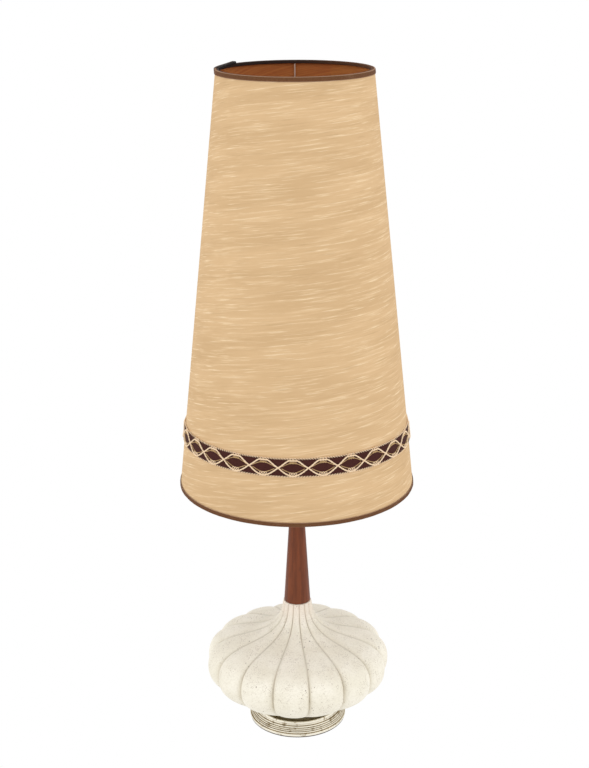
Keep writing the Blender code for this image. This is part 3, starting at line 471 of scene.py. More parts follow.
class Look:
    """A material named after its slot in the record, and the nodes that give it its pattern."""

    def __init__(self, slot, color, roughness, metallic=0.0, **sockets):
        self.made = bpy.data.materials.new(slot)
        self.made["slot"] = slot
        self.made.use_nodes = True
        self.tree = self.made.node_tree
        self.shader = self.tree.nodes["Principled BSDF"]
        self.shader.inputs["Base Color"].default_value = (*color, 1)
        self.shader.inputs["Roughness"].default_value = roughness
        self.shader.inputs["Metallic"].default_value = metallic
        for socket, value in sockets.items():
            label = socket.title().replace("_", " ").replace("Ior", "IOR")
            self.shader.inputs[label].default_value = value
        self.place = self.node("TexCoord").outputs["Object"]

    def node(self, kind, inputs=None, **settings):
        """Adds a node. Its inputs are values or other nodes' outputs."""
        made = self.tree.nodes.new("ShaderNode" + kind)
        for key, value in settings.items():
            setattr(made, key, value)
        for key, value in (inputs or {}).items():
            if isinstance(value, bpy.types.NodeSocket):
                self.tree.links.new(value, made.inputs[key])
            else:
                made.inputs[key].default_value = value
        return made

    def attribute(self, name, output="Vector"):
        return self.node("Attribute", attribute_name=name).outputs[output]

    def scaled(self, place, scale):
        return self.node("Mapping", {"Vector": place, "Scale": scale}).outputs["Vector"]

    def noise(self, place, scale=1.0, detail=3.0, roughness=0.5):
        inputs = {"Vector": place, "Scale": scale, "Detail": detail, "Roughness": roughness}
        return self.node("TexNoise", inputs).outputs["Fac"]

    def spots(self, scale, near, far, share):
        """A share near scattered points, which fades to nothing far from them."""
        cells = self.node("TexVoronoi", {"Vector": self.place, "Scale": scale}).outputs["Distance"]
        return self.times(self.ease(cells, near, far, 1, 0), share)

    def maths(self, operation, first, second=0.0):
        return self.node("Math", {0: first, 1: second}, operation=operation).outputs[0]

    def times(self, first, second):
        return self.maths("MULTIPLY", first, second)

    def plus(self, first, second):
        return self.maths("ADD", first, second)

    def minus(self, first, second):
        return self.maths("SUBTRACT", first, second)

    def ease(self, value, low, high, start=0.0, end=1.0):
        """A value's range from low to high made to run smoothly from start to end."""
        inputs = {"Value": value, "From Min": low, "From Max": high, "To Min": start, "To Max": end}
        return self.node("MapRange", inputs, interpolation_type="SMOOTHSTEP").outputs["Result"]

    def blend(self, share, first, second):
        """A colour between two, which are colours or outputs."""
        ends = [(*c, 1) if isinstance(c, tuple) else c for c in (first, second)]
        node = self.node("Mix", {0: share, 6: ends[0], 7: ends[1]}, data_type="RGBA")
        return node.outputs[2]

    def waves(self, value, per_metre):
        """Rises and falls between 0 and 1, so many times in a metre."""
        turns = self.times(value, math.tau * per_metre)
        return self.plus(self.times(self.maths("SINE", turns), 0.5), 0.5)

    def axes(self, vector):
        return self.node("SeparateXYZ", {"Vector": vector}).outputs

    def paint(self, color):
        self.tree.links.new(color, self.shader.inputs["Base Color"])

    def rough(self, value):
        self.tree.links.new(value, self.shader.inputs["Roughness"])

    def emboss(self, height, depth, strength=1.0):
        inputs = {"Height": height, "Distance": depth, "Strength": strength}
        normal = self.node("Bump", inputs).outputs["Normal"]
        self.tree.links.new(normal, self.shader.inputs["Normal"])


def ceramic_look():
    look = Look("speckled_ceramic", (0.86, 0.79, 0.69), 0.62)
    cloudy = look.noise(look.place, 26, 4)
    glaze = look.blend(look.ease(cloudy, 0.35, 0.7), (0.84, 0.79, 0.66), (0.91, 0.865, 0.75))
    gate = look.ease(look.noise(look.place, 60, 2), 0.42, 0.62)
    specks = look.spots(400, 0.24, 0.36, gate)
    mottle = look.ease(look.noise(look.place, 330, 3, 0.7), 0.42, 0.68, 0, 0.3)
    glaze = look.blend(mottle, glaze, (0.62, 0.57, 0.45))
    color = look.blend(look.times(specks, 0.6), glaze, (0.44, 0.37, 0.29))
    pit_gate = look.ease(look.noise(look.place, 21, 2), 0.5, 0.6)
    pits = look.spots(120, 0.10, 0.17, pit_gate)
    color = look.blend(look.times(pits, 0.8), color, (0.24, 0.18, 0.14))
    # Painted shade in the lobes' creases: a soft grey-green band, and a deeper brown-grey core that drifts
    # with the cloudy glaze.
    crease_shade = look.attribute("crease_shade", "Fac")
    color = look.blend(look.ease(crease_shade, 0.06, 0.6, 0, 0.42), color, (0.60, 0.55, 0.44))
    deep_crease_shade = look.times(look.ease(crease_shade, 0.35, 0.95), look.ease(cloudy, 0.2, 0.8, 0.35, 0.7))
    color = look.blend(deep_crease_shade, color, (0.42, 0.36, 0.29))
    collar = look.ease(look.axes(look.place)["Z"], 0.175, 0.215, 0, 0.45)
    look.paint(look.blend(collar, color, (0.85, 0.70, 0.60)))
    look.rough(look.ease(cloudy, 0.3, 0.7, 0.52, 0.72))
    grain = look.times(look.noise(look.place, 700, 4, 0.6), 0.35)
    grain = look.minus(grain, pits)
    grain = look.minus(grain, look.times(specks, 0.25))
    look.emboss(grain, 0.35 * MM)
    return look.made


def walnut_look():
    look = Look("walnut", (0.2, 0.065, 0.03), 0.5, specular_ior_level=0.25)
    long_grain = look.noise(look.scaled(look.place, (150, 150, 5)), 1, 5, 0.6)
    fine_grain = look.noise(look.scaled(look.place, (900, 900, 14)), 1, 3, 0.6)
    color = look.blend(look.ease(long_grain, 0.32, 0.68), (0.125, 0.032, 0.011), (0.215, 0.056, 0.018))
    pores = look.ease(fine_grain, 0.60, 0.72, 0, 0.6)
    look.paint(look.blend(pores, color, (0.05, 0.017, 0.01)))
    look.rough(look.ease(long_grain, 0.3, 0.7, 0.42, 0.55))
    look.emboss(look.minus(long_grain, pores), 0.12 * MM)
    return look.made


def antique_look():
    look = Look("antique_brass", (0.8, 0.74, 0.6), 0.34, 1.0)
    rings = look.noise(look.scaled(look.place, (9, 9, 520)), 1, 4, 0.65)
    stains = look.noise(look.place, 95, 5, 0.7)
    worn = look.attribute("worn", "Fac")
    tarnish = look.plus(look.ease(rings, 0.50, 0.68, 0, 0.4), look.ease(stains, 0.52, 0.68, 0, 0.8))
    # More tarnish in the grooves, where worn is low. Inside the lip, where worn is 0, this tarnish also
    # serves as painted shade.
    tarnish = look.plus(tarnish, look.ease(worn, 0.1, 0.7, 0.6, 0))
    tarnish = look.node("Clamp", {"Value": tarnish}).outputs[0]
    bright = look.blend(stains, (0.93, 0.88, 0.74), (0.84, 0.80, 0.70))
    color = look.blend(tarnish, bright, (0.34, 0.26, 0.14))
    # Painted shade: inside the lip, where worn is 0, the recess and seat turn dark olive over their tarnish.
    look.paint(look.blend(look.ease(worn, 0.0, 0.14, 1, 0), color, (0.40, 0.34, 0.21)))
    look.rough(look.ease(tarnish, 0, 1, 0.42, 0.65))
    look.emboss(look.minus(rings, tarnish), 0.12 * MM)
    return look.made


def brass_look(slot, color, dark, roughness, scale=260):
    """Lacquered or plated metal: cloudy, faintly scratched and darker in patches."""
    look = Look(slot, color, roughness, 1.0)
    cloudy = look.noise(look.place, scale / 4, 4, 0.6)
    marks = look.noise(look.scaled(look.place, (scale, scale, 14 * scale)), 1, 2)
    look.paint(look.blend(look.ease(cloudy, 0.5, 0.8), color, dark))
    look.rough(look.ease(cloudy, 0.3, 0.7, roughness - 0.07, roughness + 0.12))
    look.emboss(marks, 0.02 * MM)
    return look.made


def weave_height(look, along, across, pitch):
    """A plain weave's height from two distances in metres."""
    return look.plus(look.waves(along, 1 / pitch), look.waves(across, 1 / pitch))


def cloth_look():
    """Slub cloth: lighter, thicker yarns run in short tapered streaks across the flat sheet."""
    look = Look("slub_cloth", (0.66, 0.44, 0.23), 0.9, specular_ior_level=0.12)
    flat = look.attribute("flat")
    along, across, _ = look.axes(flat)
    tone = look.noise(look.scaled(flat, (5, 34, 1)), 1, 3)
    wide = look.noise(look.scaled(flat, (13, 230, 1)), 1, 3, 0.6)
    fine = look.noise(look.scaled(flat, (24, 620, 1)), 1, 2, 0.6)
    base = look.blend(look.ease(tone, 0.3, 0.7), (0.61, 0.41, 0.22), (0.68, 0.465, 0.258))
    soft = look.ease(wide, 0.48, 0.70, 0, 0.6)
    color = look.blend(soft, base, (0.79, 0.57, 0.34))
    sharp = look.times(look.ease(fine, 0.52, 0.66), look.ease(wide, 0.40, 0.64))
    color = look.blend(look.times(sharp, 0.8), color, (0.90, 0.70, 0.45))
    dark = look.ease(look.noise(look.scaled(flat, (19, 420, 3)), 1, 2), 0.56, 0.75, 0, 0.35)
    look.paint(look.blend(dark, color, (0.46, 0.30, 0.15)))
    weave = look.times(weave_height(look, along, across, 0.9 * MM), 0.3)
    look.emboss(look.plus(weave, look.plus(sharp, soft)), 0.16 * MM)
    return look.made


def lining_look():
    look = Look("lining", (0.33, 0.12, 0.045), 0.8, specular_ior_level=0.12)
    flat = look.attribute("flat")
    along, across, _ = look.axes(flat)
    bands = look.noise(look.scaled(flat, (9, 330, 1)), 1, 3)
    cloudy = look.noise(look.scaled(flat, (14, 14, 1)), 1, 3)
    color = look.blend(look.ease(bands, 0.35, 0.7), (0.42, 0.135, 0.04), (0.50, 0.18, 0.052))
    look.paint(look.blend(look.ease(cloudy, 0.4, 0.7, 0, 0.6), color, (0.52, 0.22, 0.05)))
    look.emboss(weave_height(look, along, across, 0.7 * MM), 0.06 * MM)
    return look.made


def tape_look(shade):
    """Ribbed binding tape, with ribs across it and a woven edge, at a share of its full lightness. Its folded
    outer edges get a painted highlight, and its inner face a painted shadow that deepens towards -X.
    """
    dark, middle, light = ((0.107, 0.043, 0.017), (0.172, 0.075, 0.032), (0.40, 0.24, 0.15))
    dark, middle, light = (tuple(shade * part for part in color) for color in (dark, middle, light))
    look = Look("binding_tape", middle, 0.8, specular_ior_level=0.15)
    flat = look.attribute("flat")
    along, across, fold = look.axes(flat)
    ribs = look.waves(along, 1 / (0.9 * MM))
    yarn = look.noise(look.scaled(flat, (300, 1500, 0)), 1, 3)
    color = look.blend(look.ease(yarn, 0.3, 0.7), dark, middle)
    worn = look.noise(look.scaled(flat, (40, 160, 0)), 1, 3)
    color = look.blend(look.ease(worn, 0.55, 0.75, 0, 0.2), color, light)
    # Painted highlight along the tape's folded outer edges.
    color = look.blend(look.ease(fold, 0.2, 0.9, 0, 0.8), color, light)
    shadow = look.ease(look.axes(look.place)["X"], -0.02, 0.12, 0.85, 0.25)
    shadow = look.times(look.ease(fold, -0.8, -0.1, 1, 0), shadow)
    look.paint(look.blend(shadow, color, (0.012, 0.01, 0.011)))
    look.emboss(look.plus(ribs, look.waves(across, 1 / (0.6 * MM))), 0.10 * MM)
    return look.made


def braid_look(low, high):
    """The braid's dark ground, or one of its cords, in a colour between two."""
    look = Look("braid", high, 0.75, specular_ior_level=0.12)
    yarn = look.noise(look.place, 900, 3, 0.6)
    look.paint(look.blend(look.ease(yarn, 0.3, 0.7), low, high))
    look.emboss(look.noise(look.place, 1500, 2), 0.12 * MM)
    return look.made


def plain_look(slot, color, other, roughness, scale, depth, **sockets):
    """A material whose colour drifts between two, over a fine grain."""
    look = Look(slot, color, roughness, **sockets)
    cloudy = look.noise(look.place, scale / 6, 3)
    look.paint(look.blend(look.ease(cloudy, 0.35, 0.7), color, other))
    look.emboss(look.noise(look.place, scale, 3, 0.6), depth)
    return look.made


def glass_look(slot, transmission, roughness):
    look = Look(slot, (0.93, 0.93, 0.90), roughness, transmission_weight=transmission, ior=1.45)
    frost = look.noise(look.place, 1200, 2)
    look.rough(look.ease(frost, 0.3, 0.7, roughness - 0.04, roughness + 0.06))
    return look.made


CERAMIC = ceramic_look()
WALNUT = walnut_look()
ANTIQUE = antique_look()
BRASS = brass_look("brass", (0.80, 0.60, 0.30), (0.52, 0.36, 0.16), 0.28)
THIN_BRASS = brass_look("thin_brass", (0.78, 0.56, 0.30), (0.50, 0.33, 0.16), 0.34)
STEEL = brass_look("zinc_steel", (0.66, 0.66, 0.64), (0.40, 0.39, 0.37), 0.36)
SPIDER = plain_look(
    "zinc_steel", (0.72, 0.55, 0.44), (0.55, 0.42, 0.34), 0.5, 900, 0.02 * MM, metallic=0.35
)
BULB_METAL = brass_look("bulb_metal", (0.70, 0.70, 0.68), (0.48, 0.47, 0.45), 0.3)
CLOTH = cloth_look()
LINING = lining_look()
TAPE = tape_look(1.0)
# A painted-shade copy of the binding tape, much darker, for the top tape's spare end.
SHADED_TAPE = tape_look(0.22)
BRAID = braid_look((0.036, 0.009, 0.007), (0.072, 0.021, 0.016))
DULL = braid_look((0.36, 0.22, 0.09), (0.66, 0.46, 0.24))
CREAM = braid_look((0.74, 0.53, 0.33), (0.93, 0.74, 0.53))
FELT = plain_look("felt", (0.05, 0.035, 0.03), (0.085, 0.065, 0.055), 0.95, 2600, 0.3 * MM)
RUBBER = plain_look("black_rubber", (0.025, 0.025, 0.025), (0.04, 0.04, 0.04), 0.6, 1500, 0.05 * MM)
PLASTIC = plain_look("black_plastic", (0.02, 0.018, 0.016), (0.035, 0.03, 0.028), 0.32, 900, 0.02 * MM)
PHENOLIC = plain_look("phenolic", (0.035, 0.026, 0.02), (0.07, 0.05, 0.035), 0.42, 1200, 0.04 * MM)
CARD = plain_look("card", (0.36, 0.27, 0.16), (0.28, 0.20, 0.11), 0.85, 1600, 0.08 * MM)
FROSTED = glass_look("frosted_glass", 0.35, 0.42)
CLEAR = glass_look("clear_glass", 0.9, 0.08)


# ---- pieces of the stand


def re_turned(node, surface, rounding, segments=FINE_SEGMENTS, place=UPRIGHT, relief=None, longest=None):
    """A turned CAD node made again, round and with its corners eased."""
    outline = softened(outline_of(node, place), rounding)
    if longest:
        outline = divided(outline, longest)
    piece = turned(node + "_fine", outline, surface, segments, relief)
    piece.data.transform(place)
    return fit(piece, node)


def ring_tool(radius, length, place):
    """A plain cylinder that cuts a hole."""
    tool = turned("tool", [(0, 0), (radius, 0), (radius, length), (0, length)], STEEL, FINE_SEGMENTS)
    tool.data.transform(place)
    return tool


def base_profile(low, top, rim, flat, bore):
    """The spun base's outline (ridges, a raised lip, a recess round the seat) and its grooves' heights."""
    outer = []
    grooves = [low]
    radius = rim
    height = low
    for ridge, step in RIDGES:
        radius -= step * MM
        for t in np.linspace(0, 1, 9):
            swell = math.sin(math.pi * t) ** 0.6
            outer.append((radius - RIDGE_BULGE * (1 - swell), height + ridge * MM * t))
        height += ridge * MM
        grooves.append(height)
    lip = (flat + LIP_REACH, top - LIP_DROP - LIP_RADIUS)
    outer += arc(lip, LIP_RADIUS, 0, 180, 14)
    seat = flat - SEAT_INSET
    floor = top - RECESS_DEPTH
    outer += [(lip[0] - LIP_RADIUS, floor), (seat, floor), (seat, top)]
    inner = [
        (bore, top),
        (bore, top - BASE_WALL),
        (seat - BASE_WALL, top - BASE_WALL),
        (seat - BASE_WALL, floor - BASE_WALL),
        (flat + LIP_REACH - BASE_WALL, floor - BASE_WALL),
        (rim - 5 * BASE_WALL, low + RIDGES[0][0] * MM),
        (rim - BASE_WALL - RIDGE_BULGE, low),
    ]
    return outer + inner, grooves


def make_base():
    low, top = levels("brass_base")
    bore, flat = rims("brass_base", top)
    rim = bore_and_rim("brass_base")[1]
    outline, grooves = base_profile(low, top, rim, flat, bore)
    ring = turned("base_ring", outline, ANTIQUE, 2 * TURN_SEGMENTS)
    corner_low, corner_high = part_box("cord_bushing")
    axis_z = (corner_low.z + corner_high.z) / 2
    back = facing((0, 1, 0), (0, corner_low.y, axis_z))
    bushing = outline_of("cord_bushing", back)
    hole_radius = sorted({radius for radius, _ in bushing})[1] + CLEARANCE
    start = facing((0, 1, 0), (0, corner_low.y - 6 * MM, axis_z))
    combined(ring, ring_tool(hole_radius, 20 * MM, start), "DIFFERENCE")
    points = np.empty(len(ring.data.vertices) * 3)
    ring.data.vertices.foreach_get("co", points)
    radius, height = np.hypot(points[0::3], points[1::3]), points[2::3]
    nearest = np.abs(height[:, None] - np.array(grooves)[None, :]).min(1)
    outside = radius > flat + LIP_REACH - 0.8 * LIP_RADIUS
    # Worn is low beside the grooves, where tarnish gathers, and 0 inside the lip, which the material paints
    # in shade.
    worn = np.where(outside, np.clip(nearest / GROOVE_WIDTH, 0.15, 1), 0.0)
    mark(ring, "worn", worn)
    fit(ring, "brass_base")
    re_turned("cord_bushing", RUBBER, 0.5 * MM, place=back)
    re_turned("base_felt", FELT, 0.5 * MM, 2 * TURN_SEGMENTS)
    re_turned("base_washer", STEEL, 0.3 * MM)
    inner, outer = bore_and_rim("lock_washer")
    middle = (inner + outer) / 2

    def teeth(radius, height, azimuth):
        """Teeth cut into the lock washer's rim."""
        gap = np.clip(2 * np.sin(LOCK_TEETH * azimuth), -1, 1) - 1
        return np.where(radius > middle, gap * TOOTH_DEPTH / 2, 0.0)

    re_turned("lock_washer", STEEL, 0.2 * MM, 2 * TURN_SEGMENTS, relief=teeth)
    make_nut("base_nut")


def make_nut(node):
    """A hexagonal nut with its corners chamfered round."""
    low, top = levels(node)
    bore, corner = bore_and_rim(node)
    flat = corner * math.cos(math.pi / 6)
    chamfer = 0.6 * (corner - flat)
    outline = [
        (bore, top),
        (flat, top),
        (corner, top - chamfer),
        (corner, low + chamfer),
        (flat, low),
        (bore, low),
    ]

    def sides(radius, height, azimuth):
        """Takes the round blank down to six flats."""
        turn = (azimuth + math.pi / 6) % (math.pi / 3) - math.pi / 6
        return np.where(radius > flat, np.minimum(radius, flat / np.cos(turn)) - radius, 0.0)

    nut = turned(node + "_fine", divided(outline, 0.4 * MM), STEEL, 2 * TURN_SEGMENTS, sides)
    fit(nut, node)


def make_rod():
    """The lamp pipe, threaded where it shows."""
    low, top = levels("threaded_rod")
    bore, rim = bore_and_rim("threaded_rod")
    lower = [(rim, z) for z in np.arange(low, low + THREAD_SHOWN, ROD_PITCH / 6)]
    upper = [(rim, z) for z in np.arange(top - THREAD_SHOWN, top, ROD_PITCH / 6)]
    outline = [(bore, low)] + lower + upper + [(rim, top), (bore, top)]
    thread = helix(ROD_PITCH, ROD_THREAD, low, top, rim - WELD)
    fit(turned("lamp_pipe", outline, STEEL, FINE_SEGMENTS, thread), "threaded_rod")


# ---- ceramic body


def lobe_swell(azimuth):
    """How far out the surface stands at an azimuth: 0 in a valley, 1 on a lobe's crest."""
    across = ((azimuth - FIRST_VALLEY) * LOBES / math.tau) % 1
    return (1 - np.abs(2 * across - 1) ** LOBE_FULLNESS) ** CREASE_SHARPNESS


def body_outline(low, top, foot, collar, rim):
    """The body's crest outline from the collar down to the foot."""
    height = top - low
    equator = low + BODY_EQUATOR
    shoulder = bezier(
        (collar, top),
        (collar, low + NECKLINE_PULL * height),
        (rim, low + SHOULDER_PULL * height),
        (rim, equator),
        SHOULDER_STEPS,
    )
    bowl = bezier(
        (rim, equator),
        (rim, low + BELLY_PULL * BODY_EQUATOR),
        (FOOT_PULL_OUT * foot, low + FOOT_PULL_UP * BODY_EQUATOR),
        (foot, low),
        BOWL_STEPS,
    )
    return shoulder, bowl[1:]


def make_ceramic():
    low, top = levels("ceramic_body")
    foot = rims("ceramic_body", low)[1]
    collar = rims("ceramic_body", top)[1]
    rim = bore_and_rim("ceramic_body")[1]
    shoulder, bowl = body_outline(low, top, foot, collar, rim)
    radius, height = np.array(shoulder + bowl).T
    upper = np.arange(len(radius)) < len(shoulder)
    from_collar = ((radius - collar) / (rim - collar)) ** DEPTH_GROWTH
    from_foot = (radius - foot) / (rim - foot)
    depth = np.where(upper, RIB_DEPTH + from_collar * (LOBE_DEPTH - RIB_DEPTH), from_foot * LOBE_DEPTH)
    inner = np.maximum(radius - depth - CERAMIC_WALL, collar - RIB_DEPTH - CERAMIC_WALL)[::-4]
    columns = LOBES * LOBE_COLUMNS
    azimuth = (FIRST_VALLEY + np.arange(columns) * math.tau / columns)[:, None]
    valley = 1 - lobe_swell(azimuth)
    reach = radius - depth * valley
    places = around_axis(reach, azimuth, height).reshape(-1, 3)
    drift = [noise.noise(Vector(place) / UNEVEN_SPACING) for place in places]
    fade = np.clip((height - low) / EVEN_FOOT, 0, 1) * np.clip((top - height) / EVEN_COLLAR, 0, 1)
    reach = reach + UNEVENNESS * np.array(drift).reshape(reach.shape) * fade
    lip = COLLAR_ROUNDING * np.clip(1 - (top - height) / COLLAR_ROUNDING, 0, 1) ** 2
    reach = reach - lip
    reach = np.hstack([reach, np.tile(inner, (columns, 1))])
    rows = around_axis(reach, azimuth, np.concatenate([height, height[::-4]]))
    body = lofted("ceramic_lobes", rows, CERAMIC, weld=False, smooth=math.radians(60))
    near_collar = np.clip(1 - from_collar, 0, 1) * upper
    near_foot = np.clip(1 - (height - low) / BODY_EQUATOR, 0, 1)
    # How much painted shade each crease gets: more near the collar, less near the foot.
    strength = CREASE_SHADE + COLLAR_SHADE * near_collar - FOOT_SHADE * near_foot
    crease_shade = np.hstack([valley**1.6 * strength, np.zeros((columns, len(inner)))])
    mark(body, "crease_shade", crease_shade)
    fit(body, "ceramic_body")


# ---- stem, socket and switch


def make_stem():
    re_turned("wood_neck", WALNUT, 0.9 * MM, TURN_SEGMENTS)
    re_turned("neck_cap", BRASS, 1.0 * MM, TURN_SEGMENTS)
    re_turned("riser_tube", BRASS, 0.2 * MM)


def make_saddle():
    low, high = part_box("harp_saddle")
    plate_height = min(p.z for p in points_of("harp_saddle") if p.z > low.z + NEAR)
    thickness = plate_height - low.z
    middle = low.z + thickness / 2
    half = (high.x - low.x) / 2
    width = high.y - low.y
    straight = half - width / 2
    size = (2 * straight, width, thickness)
    saddle = block("harp_saddle_fine", size, BRASS, (0, 0, middle), 0.3 * MM)
    corners = [(0, low.z), (width / 2, low.z), (width / 2, plate_height), (0, plate_height)]
    for side in (-1, 1):
        end = turned("saddle_end", softened(corners, 0.3 * MM), BRASS, FINE_SEGMENTS)
        end.data.transform(Matrix.Translation((side * straight, 0, 0)))
        combined(saddle, end, "UNION")
        tops = [p for p in points_at("harp_saddle", high.z) if p.x * side > 0]
        inner = min(abs(p.x) for p in tops)
        outer = max(abs(p.x) for p in tops)
        across = max(p.y for p in tops)
        place = (side * (inner + outer) / 2, 0, (middle + high.z) / 2)
        size = (outer - inner, 2 * across, high.z - middle)
        combined(saddle, block("upright", size, BRASS, place, 0.35 * MM), "UNION")
    bore = bore_and_rim("riser_tube")[0]
    drill = Matrix.Translation((0, 0, low.z - 2 * MM))
    combined(saddle, ring_tool(bore, 6 * MM, drill), "DIFFERENCE")
    fit(saddle, "harp_saddle")
    make_nut("saddle_nut")


def beads(count, heights, reach, least):
    """Rows of beads rolled into the faces at least so far from the axis."""

    def relief(radius, height, azimuth):
        raised = 0
        for level in heights:
            near = np.clip(1 - ((height - level) / BEAD_HALF) ** 2, 0, 1)
            raised = raised + near * (0.35 + 0.65 * np.abs(np.sin(azimuth * count / 2)))
        return np.where(radius >= least, reach * raised, 0.0)

    return relief


def make_socket():
    re_turned("socket_cap", BRASS, 1.6 * MM, TURN_SEGMENTS)
    low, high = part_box("cap_set_screw")
    axis_z = (low.z + high.z) / 2
    place = facing((0, 1, 0), (0, low.y, axis_z))
    head = (high.z - low.z) / 2
    outline = softened(outline_of("cap_set_screw", place), 0.3 * MM)
    screw = turned("set_screw_fine", outline, STEEL, FINE_SEGMENTS)
    screw.data.transform(place)
    slot = block("slot", (2.4 * head, 1.2 * MM, 0.7 * MM), STEEL, (0, high.y, axis_z), 0.05 * MM)
    fit(combined(screw, slot, "DIFFERENCE"), "cap_set_screw")

    shell_top = levels("socket_shell")[1]
    rim = bore_and_rim("socket_shell")[1]
    cap_top = levels("socket_cap")[1]
    rows = beads(SHELL_BEADS, (cap_top + 3 * MM, shell_top - 5 * MM), 0.5 * MM, rim - 0.1 * MM)
    outline = divided(softened(outline_of("socket_shell"), 0.6 * MM), 0.5 * MM)
    shell = turned("socket_shell_fine", outline, BRASS, 2 * TURN_SEGMENTS, rows)
    shaft_low, shaft_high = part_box("switch_shaft")
    shaft_z = (shaft_low.z + shaft_high.z) / 2
    front = facing((0, -1, 0), (0, shaft_high.y - 2 * MM, shaft_z))
    hole = (shaft_high.z - shaft_low.z) / 2 + CLEARANCE
    fit(combined(shell, ring_tool(hole, 20 * MM, front), "DIFFERENCE"), "socket_shell")
    low_z, high_z = levels("screw_shell")
    rolled = helix(LAMP_PITCH, -LAMP_THREAD, low_z + 2 * MM, high_z - 2 * MM, 0)
    re_turned("screw_shell", THIN_BRASS, 0.2 * MM, TURN_SEGMENTS, relief=rolled, longest=LAMP_STEP)


def make_switch():
    low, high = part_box("switch_shaft")
    axis_z = (low.z + high.z) / 2
    re_turned("switch_shaft", BRASS, 0.3 * MM, place=facing((0, -1, 0), (0, high.y, axis_z)))
    low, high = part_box("switch_knob")
    hub_radius = (high.z - low.z) / 2
    corners = [(0, 0), (hub_radius, 0), (hub_radius * KEY_TAPER, KEY_HUB), (0, KEY_HUB)]
    hub = turned("switch_key", softened(corners, 1.2 * MM, 5), PLASTIC, FINE_SEGMENTS)
    hub.data.transform(facing((0, -1, 0), (0, high.y, axis_z)))
    length = high.y - low.y - KEY_HUB / 2
    size = (high.x - low.x, length, KEY_BLADE)
    blade = block("blade", size, PLASTIC, (0, low.y + length / 2, axis_z), KEY_BLADE_ROUNDING)
    fit(combined(hub, blade, "UNION"), "switch_knob")


def make_bulb():
    low, high = levels("bulb_cap")
    rim = bore_and_rim("bulb_cap")[1]
    rolled = helix(LAMP_PITCH, LAMP_THREAD, low + 6 * MM, high - 2.5 * MM, rim - 1.2 * MM)
    re_turned("bulb_cap", BULB_METAL, 0.3 * MM, TURN_SEGMENTS, relief=rolled, longest=LAMP_STEP)
    low, top = levels("bulb_glass")
    radius = bore_and_rim("bulb_glass")[1]
    neck = rims("bulb_glass", low)[1]
    wall = bulb_outline(low, top, radius, neck) + bulb_outline(low, top, radius, neck, BULB_WALL)[::-1]
    fit(turned("bulb_envelope", wall, FROSTED, TURN_SEGMENTS), "bulb_glass")
    re_turned("bulb_stem", CLEAR, 1.4 * MM)


def bulb_outline(low, top, radius, neck, inset=0.0):
    """The glass from its crown down to its open neck, moved inward by an inset."""
    centre = top - radius
    crown = arc((0, centre), radius - inset, 90, -BULB_WRAP, 24)
    crown[0] = (0, top - inset)
    last = crown[-1]
    slope = math.radians(BULB_WRAP)
    reach = THROAT_PULL_DOWN * radius
    pull = (last[0] - reach * math.sin(slope), last[1] - reach * math.cos(slope))
    neck_top = low + BULB_NECK_HEIGHT
    neck_pull = (neck - inset, neck_top + THROAT_PULL_UP * radius)
    throat = bezier(last, pull, neck_pull, (neck - inset, neck_top), 16)
    return crown + throat[1:] + [(neck - inset, low)]


# ---- harp and finial


def make_harp():
    low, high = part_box("harp")
    feet = points_at("harp", low.z)
    foot = [p.x for p in feet if p.x > 0]
    leg = (max(foot) + min(foot)) / 2
    wire = (max(foot) - min(foot)) / 2
    boss_radius = max(p.x for p in points_at("harp", high.z))
    boss_low = min(p.z for p in points_of("harp") if abs(p.x) < boss_radius - NEAR)
    crown_z = (boss_low + high.z) / 2
    half = high.x - wire
    height = crown_z - low.z
    widest = low.z + HARP_WIDEST * height
    straight = low.z + HARP_STRAIGHT
    flare_height = widest - straight
    crown_height = crown_z - widest
    flare = bezier(
        (leg, straight),
        (leg, straight + FLARE_PULL_OUT * flare_height),
        (half, widest - FLARE_PULL_DOWN * flare_height),
        (half, widest),
        28,
    )
    crown = bezier(
        (half, widest),
        (half, widest + CROWN_PULL_UP * crown_height),
        (CROWN_PULL_IN * half, crown_z),
        (0, crown_z),
        44,
    )
    side = [(leg, z) for z in np.linspace(low.z, straight, 5)[:-1]] + flare + crown[1:]
    path = [(x, 0, z) for x, z in side] + [(-x, 0, z) for x, z in side[-2::-1]]
    harp = swept("harp_wire", path, wire, BRASS, (0, 1, 0), FINE_SEGMENTS // 3)
    corners = [(0, boss_low), (boss_radius, boss_low), (boss_radius, high.z), (0, high.z)]
    combined(harp, turned("boss", softened(corners, 0.8 * MM), BRASS, FINE_SEGMENTS), "UNION")
    bore = rims("harp", high.z)[0]
    drill = Matrix.Translation((0, 0, boss_low - 2 * MM))
    fit(combined(harp, ring_tool(bore, 10 * MM, drill), "DIFFERENCE"), "harp")
    low_z, top = levels("harp_stud")
    stud = rims("harp_stud", top)[1]
    hub_z = levels("spider_hub")[0]
    thread = helix(STUD_PITCH, ROD_THREAD, hub_z, top, stud - 0.4 * MM)

    def thread_on_stud(radius, height, azimuth):
        """The thread stays on the stud and off the wider shoulder."""
        return np.where(radius < stud + WELD, thread(radius, height, azimuth), 0.0)

    re_turned("harp_stud", BRASS, 0.3 * MM, relief=thread_on_stud, longest=0.2 * MM)
    for node in ("harp_ferrule_left", "harp_ferrule_right"):
        corner_low, corner_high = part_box(node)
        centre = ((corner_low.x + corner_high.x) / 2, 0, 0)
        radius = (corner_high.x - corner_low.x) / 2
        ends = (corner_low.z + FERRULE_BEAD_INSET, corner_high.z - FERRULE_BEAD_INSET)
        rows = beads(0, ends, FERRULE_BEAD, radius - 0.3 * MM)
        re_turned(node, BRASS, 0.4 * MM, place=Matrix.Translation(centre), relief=rows, longest=0.35 * MM)


